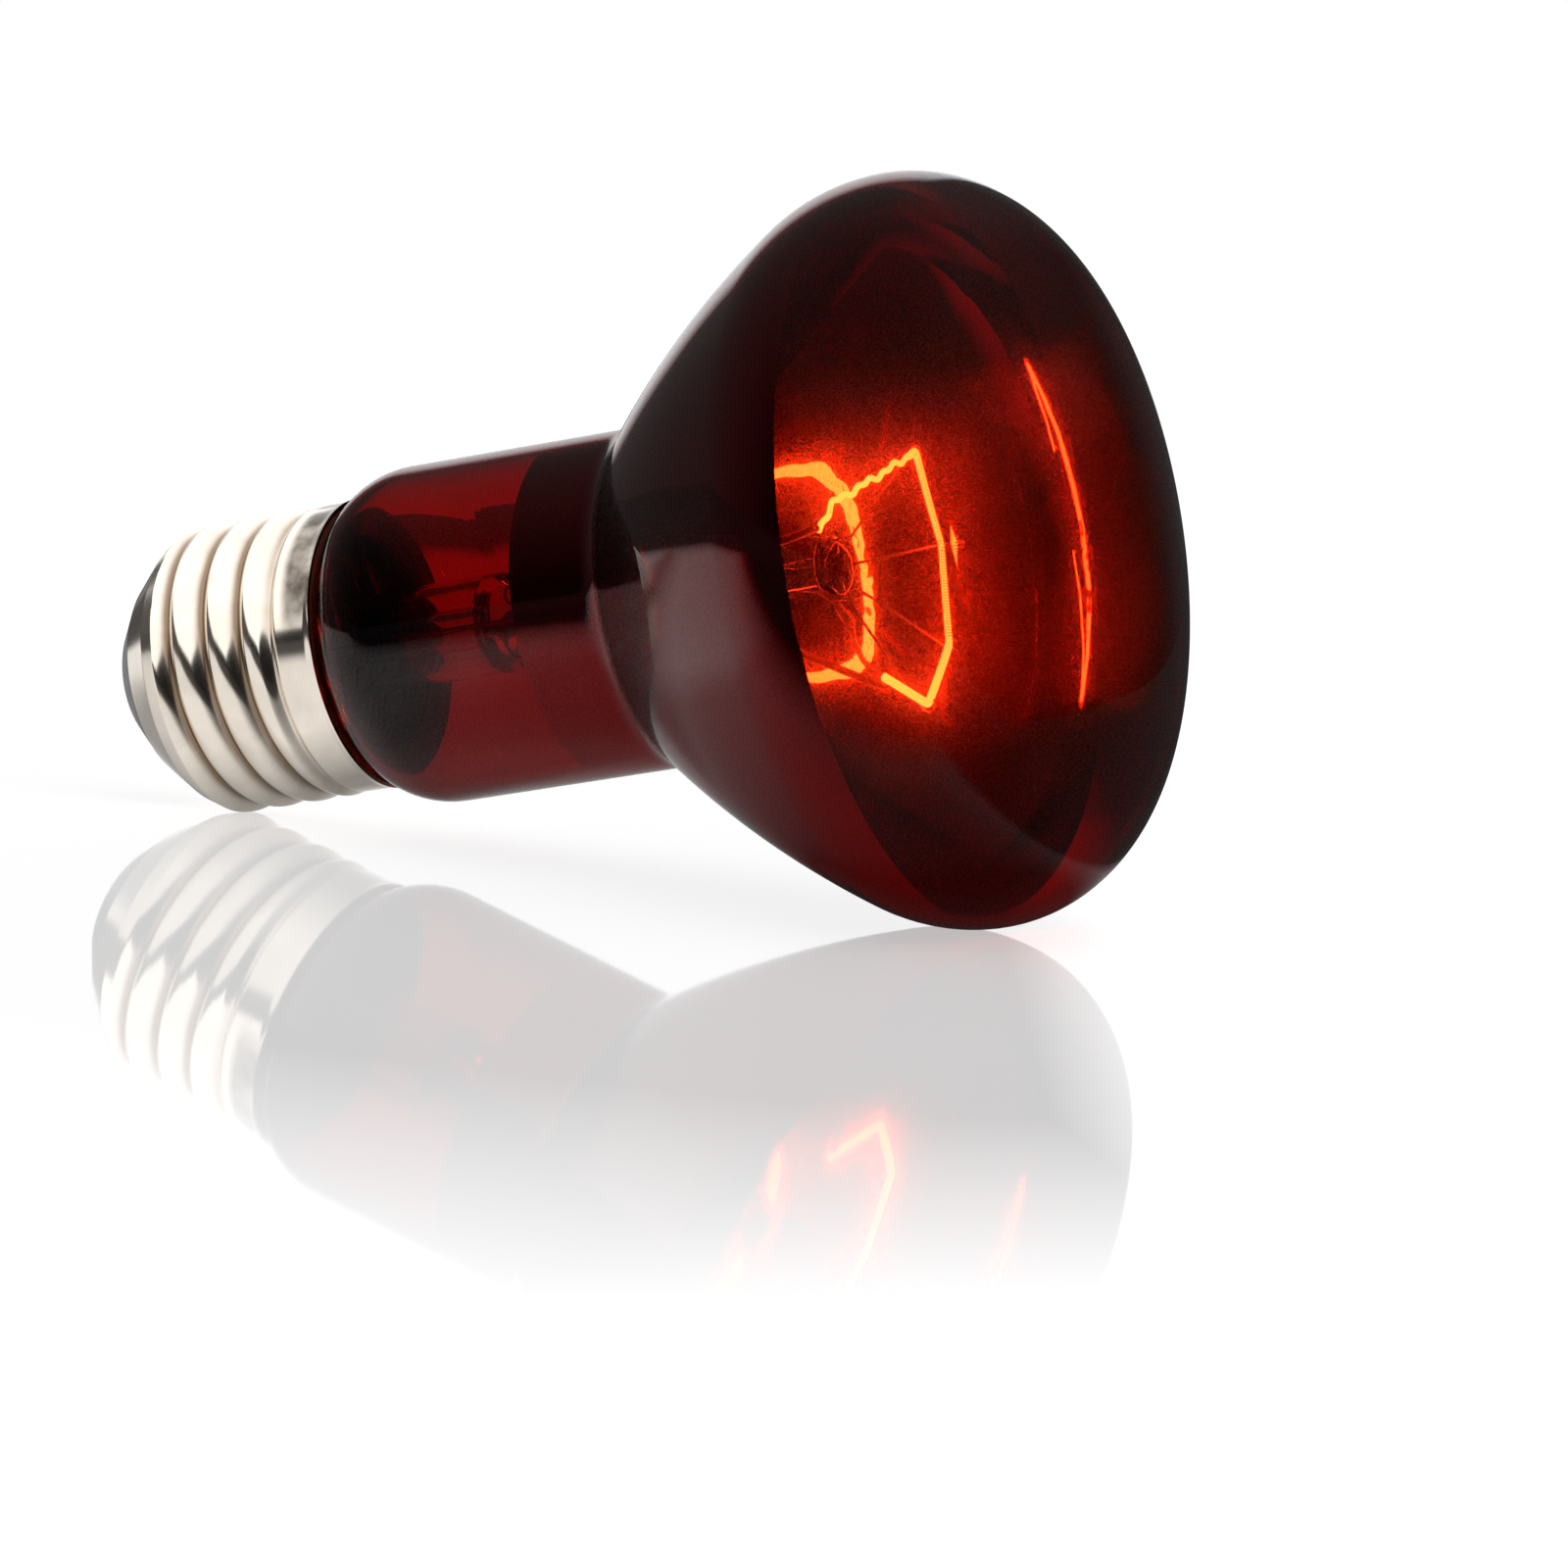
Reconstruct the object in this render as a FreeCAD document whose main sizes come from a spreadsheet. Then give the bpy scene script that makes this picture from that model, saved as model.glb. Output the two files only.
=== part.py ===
# Infrared reflector heat lamp: ruby glass bulb, mirrored bowl, ring filament and E27 screw cap.
# The lamp lies on its side, on the rim of its bowl and the thread of its cap, with +X towards its face.
import FreeCAD
import Part
import math
import os

import Sketcher

os.makedirs("parts", exist_ok=True)
doc = FreeCAD.newDocument("heat_lamp")

# Driving dimensions, in millimetres and degrees
# Heights run along the lamp's axis from the tip of the centre contact to the face.
# A rise is measured up from the edge of the cap, and a depth down from it.
DRIVING = {
    # blown glass bulb
    "bulb_diameter": 66.4,
    "neck_diameter": 30.4,
    "throat_diameter": 22.0,
    "glass_wall": 0.9,
    "widest_rise": 56.8,
    "bowl_radius": 14.7,
    "bowl_angle": 31.1,
    "flank_radius": 92.8,
    "neck_fillet": 3.0,
    "rim_radius": 12.3,
    "face_radius": 80.1,
    "collar_rise": 6.3,
    "collar_radius": 8.0,
    "collar_angle": 46.0,
    "seal_depth": 6.2,
    # mirror on the inside of the bowl
    "mirror_rise": 21.2,
    "mirror_front_rise": 56.4,
    "mirror_film": 0.08,
    # E27 screw cap
    "cap_height": 24.7,
    "thread_major": 26.4,
    "thread_minor": 24.26,
    "thread_pitch": 3.629,
    "thread_round": 1.025,
    "thread_start": 5.3,
    "thread_turns": 4.5,
    "crest_angle": 50.0,
    "root_flat": 0.5,
    "shell_wall": 0.35,
    "skirt_diameter": 26.0,
    "skirt_depth": 3.5,
    "skirt_cone_height": 0.9,
    "nose_height": 3.8,
    "nose_width": 2.73,
    "nose_length": 3.2,
    "fade_height": 6.9,
    "fade_width": 1.0,
    "fade_length": 1.7,
    "insulator_end": 1.0,
    "insulator_diameter": 11.6,
    "insulator_back": 8.6,
    "insulator_middle": 6.0,
    "insulator_hole": 2.4,
    "contact_diameter": 9.6,
    "contact_hole": 1.2,
    "contact_height": 0.55,
    "eyelet_top": 5.0,
    "solder_diameter": 6.4,
    "solder_plug": 1.4,
    "cement_recess": 0.3,
    "side_solder_radius": 0.9,
    # glass stem
    "stem_diameter": 9.0,
    "stem_wall": 0.9,
    "press_rise": 13.3,
    "shoulder_rise": 18.3,
    "press_top_rise": 23.3,
    "press_width": 11.0,
    "press_thickness": 3.6,
    "press_roof": 1.5,
    "exhaust_diameter": 3.8,
    "exhaust_wall": 0.7,
    "exhaust_depth": 11.7,
    "arbor_diameter": 2.8,
    "button_diameter": 5.8,
    "button_rise": 45.5,
    "button_thickness": 2.4,
    # wires and filament
    "lead_spacing": 5.5,
    "lead_wire": 0.7,
    "tail_wire": 0.3,
    "weld_rise": 18.3,
    "bend_rise": 26.3,
    "tail_bend_depth": 9.2,
    "tail_join": 9.0,
    "tail_end": 0.3,
    "tail_turn_depth": 4.7,
    "tail_low_depth": 9.2,
    "support_wire": 0.26,
    "support_depth": 1.5,
    "hook_radius": 0.75,
    "coil_diameter": 0.8,
    "ring_radius": 13.3,
    "ring_rise": 51.3,
    "hook_step_angle": 40.0,
    "first_hook_angle": 16.0,
    "coil_gap": 0.4,
    "near_end_radius": 11.4,
    "near_end_angle": 26.0,
    "far_end_radius": 14.5,
    "far_end_angle": 100.0,
    "slack_ratio": 0.16,
    "slack_rise": 1.3,
}
sheet = doc.addObject("Spreadsheet::Sheet", "Dimensions")
for row, (alias, number) in enumerate(DRIVING.items(), start=1):
    sheet.set(f"A{row}", alias.replace("_", " "))
    sheet.set(f"B{row}", str(number))
    sheet.setAlias(f"B{row}", alias)
derived_sheet = doc.addObject("Spreadsheet::Sheet", "Derived")


class Size:
    """A number together with the sheet formula that it comes from."""

    def __init__(self, value, text):
        self.value = value
        self.text = text

    def __add__(self, other):
        other = as_size(other)
        return Size(self.value + other.value, f"({self.text} + {other.text})")

    def __sub__(self, other):
        other = as_size(other)
        return Size(self.value - other.value, f"({self.text} - {other.text})")

    def __mul__(self, other):
        other = as_size(other)
        return Size(self.value * other.value, f"({self.text} * {other.text})")

    def __truediv__(self, other):
        other = as_size(other)
        return Size(self.value / other.value, f"({self.text} / {other.text})")

    def __neg__(self):
        return Size(-self.value, f"(-1 * {self.text})")


def as_size(number):
    """Return a Size for a plain number, and a Size as it is."""
    if isinstance(number, Size):
        return number
    return Size(float(number), str(number))


def root(size):
    """Return the square root of a Size."""
    return Size(math.sqrt(size.value), f"sqrt({size.text})")


def sine(angle):
    """Return the sine of an angle in degrees."""
    return Size(math.sin(math.radians(angle.value)), f"sin({angle.text})")


def cosine(angle):
    """Return the cosine of an angle in degrees."""
    return Size(math.cos(math.radians(angle.value)), f"cos({angle.text})")


def arc_sine(ratio):
    """Return the angle whose sine is the ratio, in degrees."""
    return Size(math.degrees(math.asin(ratio.value)), f"asin({ratio.text})")


def arc_tangent(rise, run):
    """Return the angle of a slope, in degrees."""
    return Size(math.degrees(math.atan2(rise.value, run.value)), f"atan2({rise.text}; {run.text})")


derived_names = []


def derive(alias, size):
    """Keep a worked-out value in the second sheet, and return it under its name."""
    derived_names.append(alias)
    row = len(derived_names)
    derived_sheet.set(f"A{row}", alias.replace("_", " "))
    derived_sheet.set(f"B{row}", "=" + size.text)
    derived_sheet.setAlias(f"B{row}", alias)
    return Size(size.value, f"Derived.{alias}")


def dim(alias):
    """Return one driving dimension."""
    return Size(float(DRIVING[alias]), f"Dimensions.{alias}")


ZERO = Size(0.0, "0")

# Heights of places that are measured from the edge of the cap
cap_edge = dim("cap_height")
widest = derive("widest", cap_edge + dim("widest_rise"))
collar_height = derive("collar_height", cap_edge + dim("collar_rise"))
mirror_start = derive("mirror_start", cap_edge + dim("mirror_rise"))
mirror_end = derive("mirror_end", cap_edge + dim("mirror_front_rise"))
press_start = derive("press_start", cap_edge + dim("press_rise"))
press_shoulder = derive("press_shoulder", cap_edge + dim("shoulder_rise"))
press_end = derive("press_end", cap_edge + dim("press_top_rise"))
button_height = derive("button_height", cap_edge + dim("button_rise"))
ring_height = derive("ring_height", cap_edge + dim("ring_rise"))
lead_weld = derive("lead_weld", cap_edge + dim("weld_rise"))
lead_bend = derive("lead_bend", cap_edge + dim("bend_rise"))
seal_height = derive("seal_height", cap_edge - dim("seal_depth"))
skirt_start = derive("skirt_start", cap_edge - dim("skirt_depth"))
exhaust_tip = derive("exhaust_tip", cap_edge - dim("exhaust_depth"))
tail_bend = derive("tail_bend", cap_edge - dim("tail_bend_depth"))
tail_turn = derive("tail_turn", cap_edge - dim("tail_turn_depth"))
tail_low = derive("tail_low", cap_edge - dim("tail_low_depth"))


def plane_of(body, role):
    """Return one of the three origin planes of a body."""
    return next(item for item in body.Origin.OriginFeatures if item.Role == role)


def new_body(label):
    """Add an empty body whose label names its sub-part."""
    body = doc.addObject("PartDesign::Body", label)
    body.Label = label
    return body


def sketch_on(body, name, role, height=None):
    """Add a sketch to an origin plane of the body, raised by a height if one is given."""
    sketch = body.newObject("Sketcher::SketchObject", name)
    sketch.AttachmentSupport = (plane_of(body, role), [""])
    sketch.MapMode = "FlatFace"
    if height is not None:
        sketch.setExpression("AttachmentOffset.Base.z", height.text)
    return sketch


def bind(sketch, constraint, size):
    """Add a measured constraint and tie it to its formula."""
    index = sketch.addConstraint(constraint)
    name = f"size_{index}"
    sketch.renameConstraint(index, name)
    sketch.setExpression(f"Constraints.{name}", size.text)


def pin(sketch, geometry, end, corner):
    """Fix one end of an edge at a corner measured from the sketch's origin."""
    for kind, axis, size in (("DistanceX", -2, corner[0]), ("DistanceY", -1, corner[1])):
        if size is ZERO:
            sketch.addConstraint(Sketcher.Constraint("PointOnObject", geometry, end, axis))
        else:
            bind(sketch, Sketcher.Constraint(kind, geometry, end, size.value), size)


def arc_between(start, end, radius, side, long_way=False):
    """Return the arc of a radius from start to end, counter-clockwise (+1) or clockwise (-1)."""
    first = FreeCAD.Vector(start[0].value, start[1].value, 0)
    last = FreeCAD.Vector(end[0].value, end[1].value, 0)
    chord = last - first
    reach = math.sqrt(max(radius.value ** 2 - (chord.Length / 2) ** 2, 0.0))
    if long_way:
        reach = -reach
    left = FreeCAD.Vector(-chord.y, chord.x, 0).normalize()
    centre = (first + last) / 2 + left * (reach * side)
    angles = [math.atan2(point.y - centre.y, point.x - centre.x) for point in (first, last)]
    if side < 0:
        angles.reverse()
    circle = Part.Circle(centre, FreeCAD.Vector(0, 0, 1), radius.value)
    return Part.ArcOfCircle(circle, angles[0], angles[1])


def outline(sketch, corners, closed=True):
    """Draw edges between corners, each an (x, y) or, before an arc, (x, y, radius, side)."""
    count = len(corners) if closed else len(corners) - 1
    ends = []
    for index in range(count):
        start = corners[index]
        end = corners[(index + 1) % len(corners)]
        if len(start) == 2:
            points = [FreeCAD.Vector(point[0].value, point[1].value, 0) for point in (start, end)]
            geometry = sketch.addGeometry(Part.LineSegment(points[0], points[1]))
            ends.append((geometry, 1, 2))
        else:
            geometry = sketch.addGeometry(arc_between(start, end, *start[2:]))
            ends.append((geometry, 1, 2) if start[3] > 0 else (geometry, 2, 1))
    for index, (geometry, first, last) in enumerate(ends):
        if closed or index + 1 < count:
            following = ends[(index + 1) % count]
            sketch.addConstraint(Sketcher.Constraint("Coincident", geometry, last, following[0], following[1]))
    for index, (geometry, first, last) in enumerate(ends):
        pin(sketch, geometry, first, corners[index])
        if len(corners[index]) > 2:
            bind(sketch, Sketcher.Constraint("Radius", geometry, corners[index][2].value), corners[index][2])
    if not closed:
        pin(sketch, ends[-1][0], ends[-1][2], corners[-1])
    return sketch


def circle_at(sketch, centre, radius):
    """Draw a circle of a radius about a centre."""
    middle = FreeCAD.Vector(centre[0].value, centre[1].value, 0)
    geometry = sketch.addGeometry(Part.Circle(middle, FreeCAD.Vector(0, 0, 1), radius.value))
    pin(sketch, geometry, 3, centre)
    bind(sketch, Sketcher.Constraint("Radius", geometry, radius.value), radius)
    return sketch


def turned(body, name, corners, kind="PartDesign::Revolution"):
    """Turn a closed profile of (radius, height) corners about the lamp's axis."""
    sketch = outline(sketch_on(body, name + "_profile", "XZ_Plane"), corners)
    feature = body.newObject(kind, name)
    feature.Profile = sketch
    feature.ReferenceAxis = (sketch, ["V_Axis"])
    feature.Angle = 360
    return feature


def swept(body, name, path, radius):
    """Sweep a round section along a path sketch, with rounded corners."""
    section = body.newObject("Sketcher::SketchObject", name + "_section")
    section.AttachmentSupport = (path, ["Edge1"])
    section.MapMode = "NormalToEdge"
    circle_at(section, (ZERO, ZERO), radius)
    feature = body.newObject("PartDesign::AdditivePipe", name)
    feature.Profile = section
    feature.Spine = (path, [f"Edge{number + 1}" for number in range(path.GeometryCount)])
    feature.Transition = "Round corner"
    return feature


# Worked-out values of the bulb: every wall is a chain of arcs about the same centres
bulb_radius = dim("bulb_diameter") / 2
neck_radius = dim("neck_diameter") / 2
throat_radius = dim("throat_diameter") / 2
wall = dim("glass_wall")
bowl_middle = derive("bowl_middle", bulb_radius - dim("bowl_radius"))
bowl_to_flank = derive("bowl_to_flank", dim("flank_radius") - dim("bowl_radius"))
flank_height = derive("flank_height", widest + bowl_to_flank * sine(dim("bowl_angle")))
flank_middle = derive("flank_middle", bowl_middle - bowl_to_flank * cosine(dim("bowl_angle")))
fillet_reach = dim("flank_radius") + dim("neck_fillet")
fillet_cosine = derive("fillet_cosine", (neck_radius + dim("neck_fillet") - flank_middle) / fillet_reach)
fillet_sine = derive("fillet_sine", root(as_size(1) - fillet_cosine * fillet_cosine))
fillet_height = derive("fillet_height", flank_height - fillet_reach * fillet_sine)
rim_middle = derive("rim_middle", bulb_radius - dim("rim_radius"))
face_to_rim = derive("face_to_rim", dim("face_radius") - dim("rim_radius"))
rim_drop = derive("rim_drop", root(face_to_rim * face_to_rim - rim_middle * rim_middle))
face_middle = derive("face_middle", widest - rim_drop)
collar_middle = derive("collar_middle", neck_radius - dim("collar_radius"))
collar_sine = derive("collar_sine", sine(dim("collar_angle")))
collar_cosine = derive("collar_cosine", cosine(dim("collar_angle")))


def collar_point(inset):
    """Return where the collar's arc meets its cone, on the wall that lies inset from the outside."""
    radius = dim("collar_radius") - inset
    return (collar_middle + radius * collar_cosine, collar_height - radius * collar_sine)


def throat_corner(inset):
    """Return where the collar's cone meets the throat, on the wall that lies inset from the outside."""
    point = collar_point(inset)
    drop = (point[0] - throat_radius + inset) * collar_cosine / collar_sine
    return (throat_radius - inset, point[1] - drop)


def flank_start(inset):
    """Return where the neck's fillet meets the flank of the bowl."""
    radius = dim("flank_radius") - inset
    return (flank_middle + radius * fillet_cosine, flank_height - radius * fillet_sine)


def flank_end(inset):
    """Return where the flank meets the round of the bowl."""
    radius = dim("bowl_radius") - inset
    return (bowl_middle + radius * cosine(dim("bowl_angle")), widest - radius * sine(dim("bowl_angle")))


def face_start(inset):
    """Return where the rim's arc meets the domed face."""
    radius = dim("face_radius") - inset
    return (radius * rim_middle / face_to_rim, face_middle + radius * rim_drop / face_to_rim)


def bulb_wall(inset):
    """Return the corners of one wall of the bulb, from its throat to the middle of its face."""
    return [
        (throat_radius - inset, seal_height),
        throat_corner(inset),
        collar_point(inset) + (dim("collar_radius") - inset, 1),
        (neck_radius - inset, collar_height),
        (neck_radius - inset, fillet_height, dim("neck_fillet") + inset, -1),
        flank_start(inset) + (dim("flank_radius") - inset, 1),
        flank_end(inset) + (dim("bowl_radius") - inset, 1),
        (bulb_radius - inset, widest, dim("rim_radius") - inset, 1),
        face_start(inset) + (dim("face_radius") - inset, 1),
        (ZERO, face_middle + dim("face_radius") - inset),
    ]


def backwards(corners):
    """Return a chain of corners from its far end, with each arc turned the other way."""
    chain = []
    for index in range(len(corners) - 1, -1, -1):
        arc = corners[index - 1][2:] if index else ()
        chain.append(corners[index][:2] + ((arc[0], -arc[1]) if arc else ()))
    return chain


# Glass bulb
glass_envelope = new_body("glass_envelope")
turned(glass_envelope, "blown_glass", bulb_wall(ZERO) + backwards(bulb_wall(wall)))

# Mirror film on the inside of the bowl, from the neck to just behind the widest place


def mirror_face(inset):
    """Return the corners of one face of the mirror film."""
    bowl = dim("bowl_radius") - inset
    back = widest - mirror_end
    return [
        (neck_radius - inset, mirror_start),
        (neck_radius - inset, fillet_height, dim("neck_fillet") + inset, -1),
        flank_start(inset) + (dim("flank_radius") - inset, 1),
        flank_end(inset) + (bowl, 1),
        (bowl_middle + root(bowl * bowl - back * back), mirror_end),
    ]


mirror_film = new_body("mirror_film")
turned(mirror_film, "film", mirror_face(wall) + backwards(mirror_face(wall + dim("mirror_film"))))

# Screw cap: a drawn shell with a rolled thread
crest_radius = dim("thread_major") / 2
core_radius = derive("core_radius", dim("thread_minor") / 2)
core_bore = derive("core_bore", core_radius - dim("shell_wall"))
skirt_radius = dim("skirt_diameter") / 2
skirt_bore = derive("skirt_bore", skirt_radius - dim("shell_wall"))
step_start = derive("step_start", skirt_start - dim("skirt_cone_height"))
nose_edge = derive("nose_edge", core_radius - dim("nose_width"))
nose_top = derive("nose_top", dim("nose_height") + dim("nose_length"))
nose_slope = derive("nose_slope", dim("nose_length") / dim("nose_width"))
nose_span = derive("nose_span", root(as_size(1) + nose_slope * nose_slope))
nose_inside = derive("nose_inside", dim("nose_height") + dim("shell_wall") * nose_span)
bore_top = derive("bore_top", nose_inside + (dim("nose_width") - dim("shell_wall")) * nose_slope)
cap_shell = new_body("cap_shell")
turned(cap_shell, "drawn_shell", [
    (nose_edge, dim("nose_height")),
    (core_radius, nose_top),
    (core_radius, step_start),
    (skirt_radius, skirt_start),
    (skirt_radius, dim("cap_height")),
    (skirt_bore, dim("cap_height")),
    (skirt_bore, skirt_start),
    (core_bore, step_start),
    (core_bore, bore_top),
    (nose_edge, nose_inside),
])
ridge_foot = derive("ridge_foot", core_radius - dim("shell_wall") / 2)
ridge_half = derive("ridge_half", (dim("thread_pitch") - dim("root_flat")) / 2)
crest_drop = dim("thread_round") * (as_size(1) - cosine(dim("crest_angle")))
ridge_crown = derive("ridge_crown", crest_radius - crest_drop)
ridge_top = derive("ridge_top", dim("thread_round") * sine(dim("crest_angle")))
ridge = outline(sketch_on(cap_shell, "ridge_profile", "XZ_Plane"), [
    (ridge_foot, dim("thread_start") - ridge_half),
    (core_radius, dim("thread_start") - ridge_half),
    (ridge_crown, dim("thread_start") - ridge_top, dim("thread_round"), 1),
    (ridge_crown, dim("thread_start") + ridge_top),
    (core_radius, dim("thread_start") + ridge_half),
    (ridge_foot, dim("thread_start") + ridge_half),
])
doc.recompute()
thread = cap_shell.newObject("PartDesign::AdditiveHelix", "rolled_thread")
thread.Profile = ridge
thread.ReferenceAxis = (ridge, ["V_Axis"])
thread.Mode = "pitch-turns-angle"
thread.setExpression("Pitch", "Dimensions.thread_pitch")
thread.setExpression("Turns", "Dimensions.thread_turns")
# The thread fades out into the nose and the skirt, and the bore stays clear of it
beyond = derive("beyond", crest_radius + dim("thread_pitch"))
turned(cap_shell, "nose_trim", [
    (nose_edge, dim("nose_height")),
    (crest_radius - dim("fade_width"), dim("fade_height")),
    (crest_radius, dim("fade_height") + dim("fade_length")),
    (beyond, dim("fade_height") + dim("fade_length")),
    (beyond, dim("insulator_end")),
    (nose_edge, dim("insulator_end")),
], "PartDesign::Groove")
turned(cap_shell, "skirt_trim", [
    (crest_radius, step_start - dim("skirt_cone_height")),
    (skirt_radius, skirt_start),
    (skirt_radius, dim("cap_height") + dim("thread_pitch")),
    (beyond, dim("cap_height") + dim("thread_pitch")),
    (beyond, step_start - dim("skirt_cone_height")),
], "PartDesign::Groove")
turned(cap_shell, "skirt_bore_trim", [
    (core_bore, step_start),
    (skirt_bore, skirt_start),
    (skirt_bore, dim("cap_height") + dim("thread_pitch")),
    (core_bore, dim("cap_height") + dim("thread_pitch")),
], "PartDesign::Groove")

# Black glass insulator, pressed into the nose of the shell
insulator_bore = dim("insulator_hole") / 2
cap_insulator = new_body("cap_insulator")
turned(cap_insulator, "pressed_glass", [
    (insulator_bore, dim("insulator_end")),
    (dim("insulator_diameter") / 2, dim("insulator_end")),
    (nose_edge, dim("nose_height")),
    (nose_edge, nose_inside),
    (core_bore, bore_top),
    (core_bore, dim("insulator_back")),
    (insulator_bore, dim("insulator_middle")),
])

# Centre contact: an eyelet whose barrel lines the insulator's hole
contact_radius = dim("contact_diameter") / 2
contact_bore = dim("contact_hole") / 2
centre_contact = new_body("centre_contact")
turned(centre_contact, "eyelet", [
    (contact_bore, dim("contact_height")),
    (contact_radius, dim("contact_height")),
    (contact_radius, dim("insulator_end")),
    (insulator_bore, dim("insulator_end")),
    (insulator_bore, dim("eyelet_top")),
    (contact_bore, dim("eyelet_top")),
])

# Solder bead on the centre contact, with a plug in the eyelet
solder_radius = dim("solder_diameter") / 2
bead_square = solder_radius * solder_radius + dim("contact_height") * dim("contact_height")
bead_radius = derive("bead_radius", bead_square / (dim("contact_height") * 2))
centre_bead = new_body("centre_bead")
turned(centre_bead, "bead", [
    (ZERO, ZERO, bead_radius, 1),
    (solder_radius, dim("contact_height")),
    (contact_bore, dim("contact_height")),
    (contact_bore, dim("contact_height") + dim("solder_plug")),
    (ZERO, dim("contact_height") + dim("solder_plug")),
])

# Cement between the skirt of the cap and the collar of the bulb
cement_top = derive("cement_top", dim("cap_height") - dim("cement_recess"))
cone_foot = derive("cone_foot", throat_corner(ZERO)[1])


def cone_radius(height):
    """Return the outer radius of the collar's cone at a height."""
    return throat_radius + (height - cone_foot) * collar_sine / collar_cosine


cement_ring = new_body("cement_ring")
turned(cement_ring, "cement", [
    (throat_radius, skirt_start),
    (skirt_bore, skirt_start),
    (skirt_bore, cement_top),
    (cone_radius(cement_top), cement_top),
    (throat_radius, cone_foot),
])

# Glass stem: a flare sealed to the throat, a tube and a flat press that holds the wires
stem_radius = dim("stem_diameter") / 2
stem_bore = derive("stem_bore", stem_radius - dim("stem_wall"))
flare_edge = derive("flare_edge", throat_radius - wall)
flare_radius = derive("flare_radius", flare_edge - stem_radius)
flare_top = derive("flare_top", seal_height + flare_radius)
flare_low = derive("flare_low", seal_height - dim("stem_wall"))
stem_roof = derive("stem_roof", press_start - dim("press_roof"))
stem_blank = new_body("stem_blank")
turned(stem_blank, "flare_tube", [
    (throat_radius, flare_low),
    (throat_radius, seal_height),
    (flare_edge, seal_height, flare_radius, -1),
    (stem_radius, flare_top),
    (stem_radius, press_start),
    (ZERO, press_start),
    (ZERO, stem_roof),
    (stem_bore, stem_roof),
    (stem_bore, flare_top, flare_radius + dim("stem_wall"), 1),
    (flare_edge, flare_low),
])
tube_corner = derive("tube_corner", stem_radius * sine(as_size(45)))
press_half = dim("press_thickness") / 2
press_side = derive("press_side", dim("press_width") / 2 - press_half)
press_foot = outline(sketch_on(stem_blank, "press_foot", "XY_Plane", press_start), [
    (tube_corner, -tube_corner, stem_radius, 1),
    (tube_corner, tube_corner, stem_radius, 1),
    (ZERO, stem_radius, stem_radius, 1),
    (-tube_corner, tube_corner, stem_radius, 1),
    (-tube_corner, -tube_corner, stem_radius, 1),
    (ZERO, -stem_radius, stem_radius, 1),
])
press_section = [
    (press_half, -press_side),
    (press_half, press_side, press_half, 1),
    (ZERO, dim("press_width") / 2, press_half, 1),
    (-press_half, press_side),
    (-press_half, -press_side, press_half, 1),
    (ZERO, -dim("press_width") / 2, press_half, 1),
]
press_neck = outline(sketch_on(stem_blank, "press_neck", "XY_Plane", press_shoulder), press_section)
doc.recompute()
press_loft = stem_blank.newObject("PartDesign::AdditiveLoft", "press_loft")
press_loft.Profile = press_foot
press_loft.Sections = [press_neck]
press_flat_sketch = outline(sketch_on(stem_blank, "press_flat", "XY_Plane", press_shoulder), press_section)
press_flat = stem_blank.newObject("PartDesign::Pad", "press")
press_flat.Profile = press_flat_sketch
press_flat.setExpression("Length", (press_end - press_shoulder).text)

# Exhaust tube, tipped off inside the cap
exhaust_radius = dim("exhaust_diameter") / 2
exhaust_bore = derive("exhaust_bore", exhaust_radius - dim("exhaust_wall"))
exhaust_round = derive("exhaust_round", exhaust_tip + exhaust_radius)
exhaust_tube = new_body("exhaust_tube")
turned(exhaust_tube, "drawn_tube", [
    (ZERO, exhaust_tip, exhaust_radius, 1),
    (exhaust_radius, exhaust_round),
    (exhaust_radius, stem_roof),
    (exhaust_bore, stem_roof),
    (exhaust_bore, exhaust_round, exhaust_bore, -1),
    (ZERO, exhaust_round - exhaust_bore),
])

# Arbor: a glass rod on the press, with the button that the supports are set in
arbor_radius = dim("arbor_diameter") / 2
button_radius = dim("button_diameter") / 2
button_half = dim("button_thickness") / 2
button_low = derive("button_low", button_height - button_half)
button_top = derive("button_top", button_height + button_half)
arbor_blank = new_body("arbor_blank")
turned(arbor_blank, "rod_and_button", [
    (ZERO, press_end),
    (arbor_radius, press_end),
    (arbor_radius, button_low),
    (button_radius - button_half, button_low, button_half, 1),
    (button_radius, button_height, button_half, 1),
    (button_radius - button_half, button_top),
    (ZERO, button_top),
])

# Support wires: each runs from the button to a hook round the filament
hook_reach = derive("hook_reach", button_radius - dim("support_depth") - dim("ring_radius"))
hook_drop = derive("hook_drop", button_height - ring_height)
hook_span = derive("hook_span", root(hook_reach * hook_reach + hook_drop * hook_drop))
hook_across = derive("hook_across", hook_reach / hook_span)
hook_along = derive("hook_along", hook_drop / hook_span)
hook_cosine = derive("hook_cosine", dim("hook_radius") / hook_span)
hook_sine = derive("hook_sine", root(as_size(1) - hook_cosine * hook_cosine))
touch_across = derive("touch_across", hook_cosine * hook_across - hook_sine * hook_along)
touch_along = derive("touch_along", hook_cosine * hook_along + hook_sine * hook_across)
open_across = derive("open_across", hook_cosine * hook_across + hook_sine * hook_along)
open_along = derive("open_along", hook_cosine * hook_along - hook_sine * hook_across)
hook_path = [
    (button_radius - dim("support_depth"), button_height),
    (dim("ring_radius") + dim("hook_radius") * touch_across,
     ring_height + dim("hook_radius") * touch_along, dim("hook_radius"), 1, True),
    (dim("ring_radius") + dim("hook_radius") * open_across,
     ring_height + dim("hook_radius") * open_along),
]
SUPPORTS = 4
ring_angles = [dim("first_hook_angle") + dim("hook_step_angle") * index for index in range(SUPPORTS)]
support_wires = []
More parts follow.
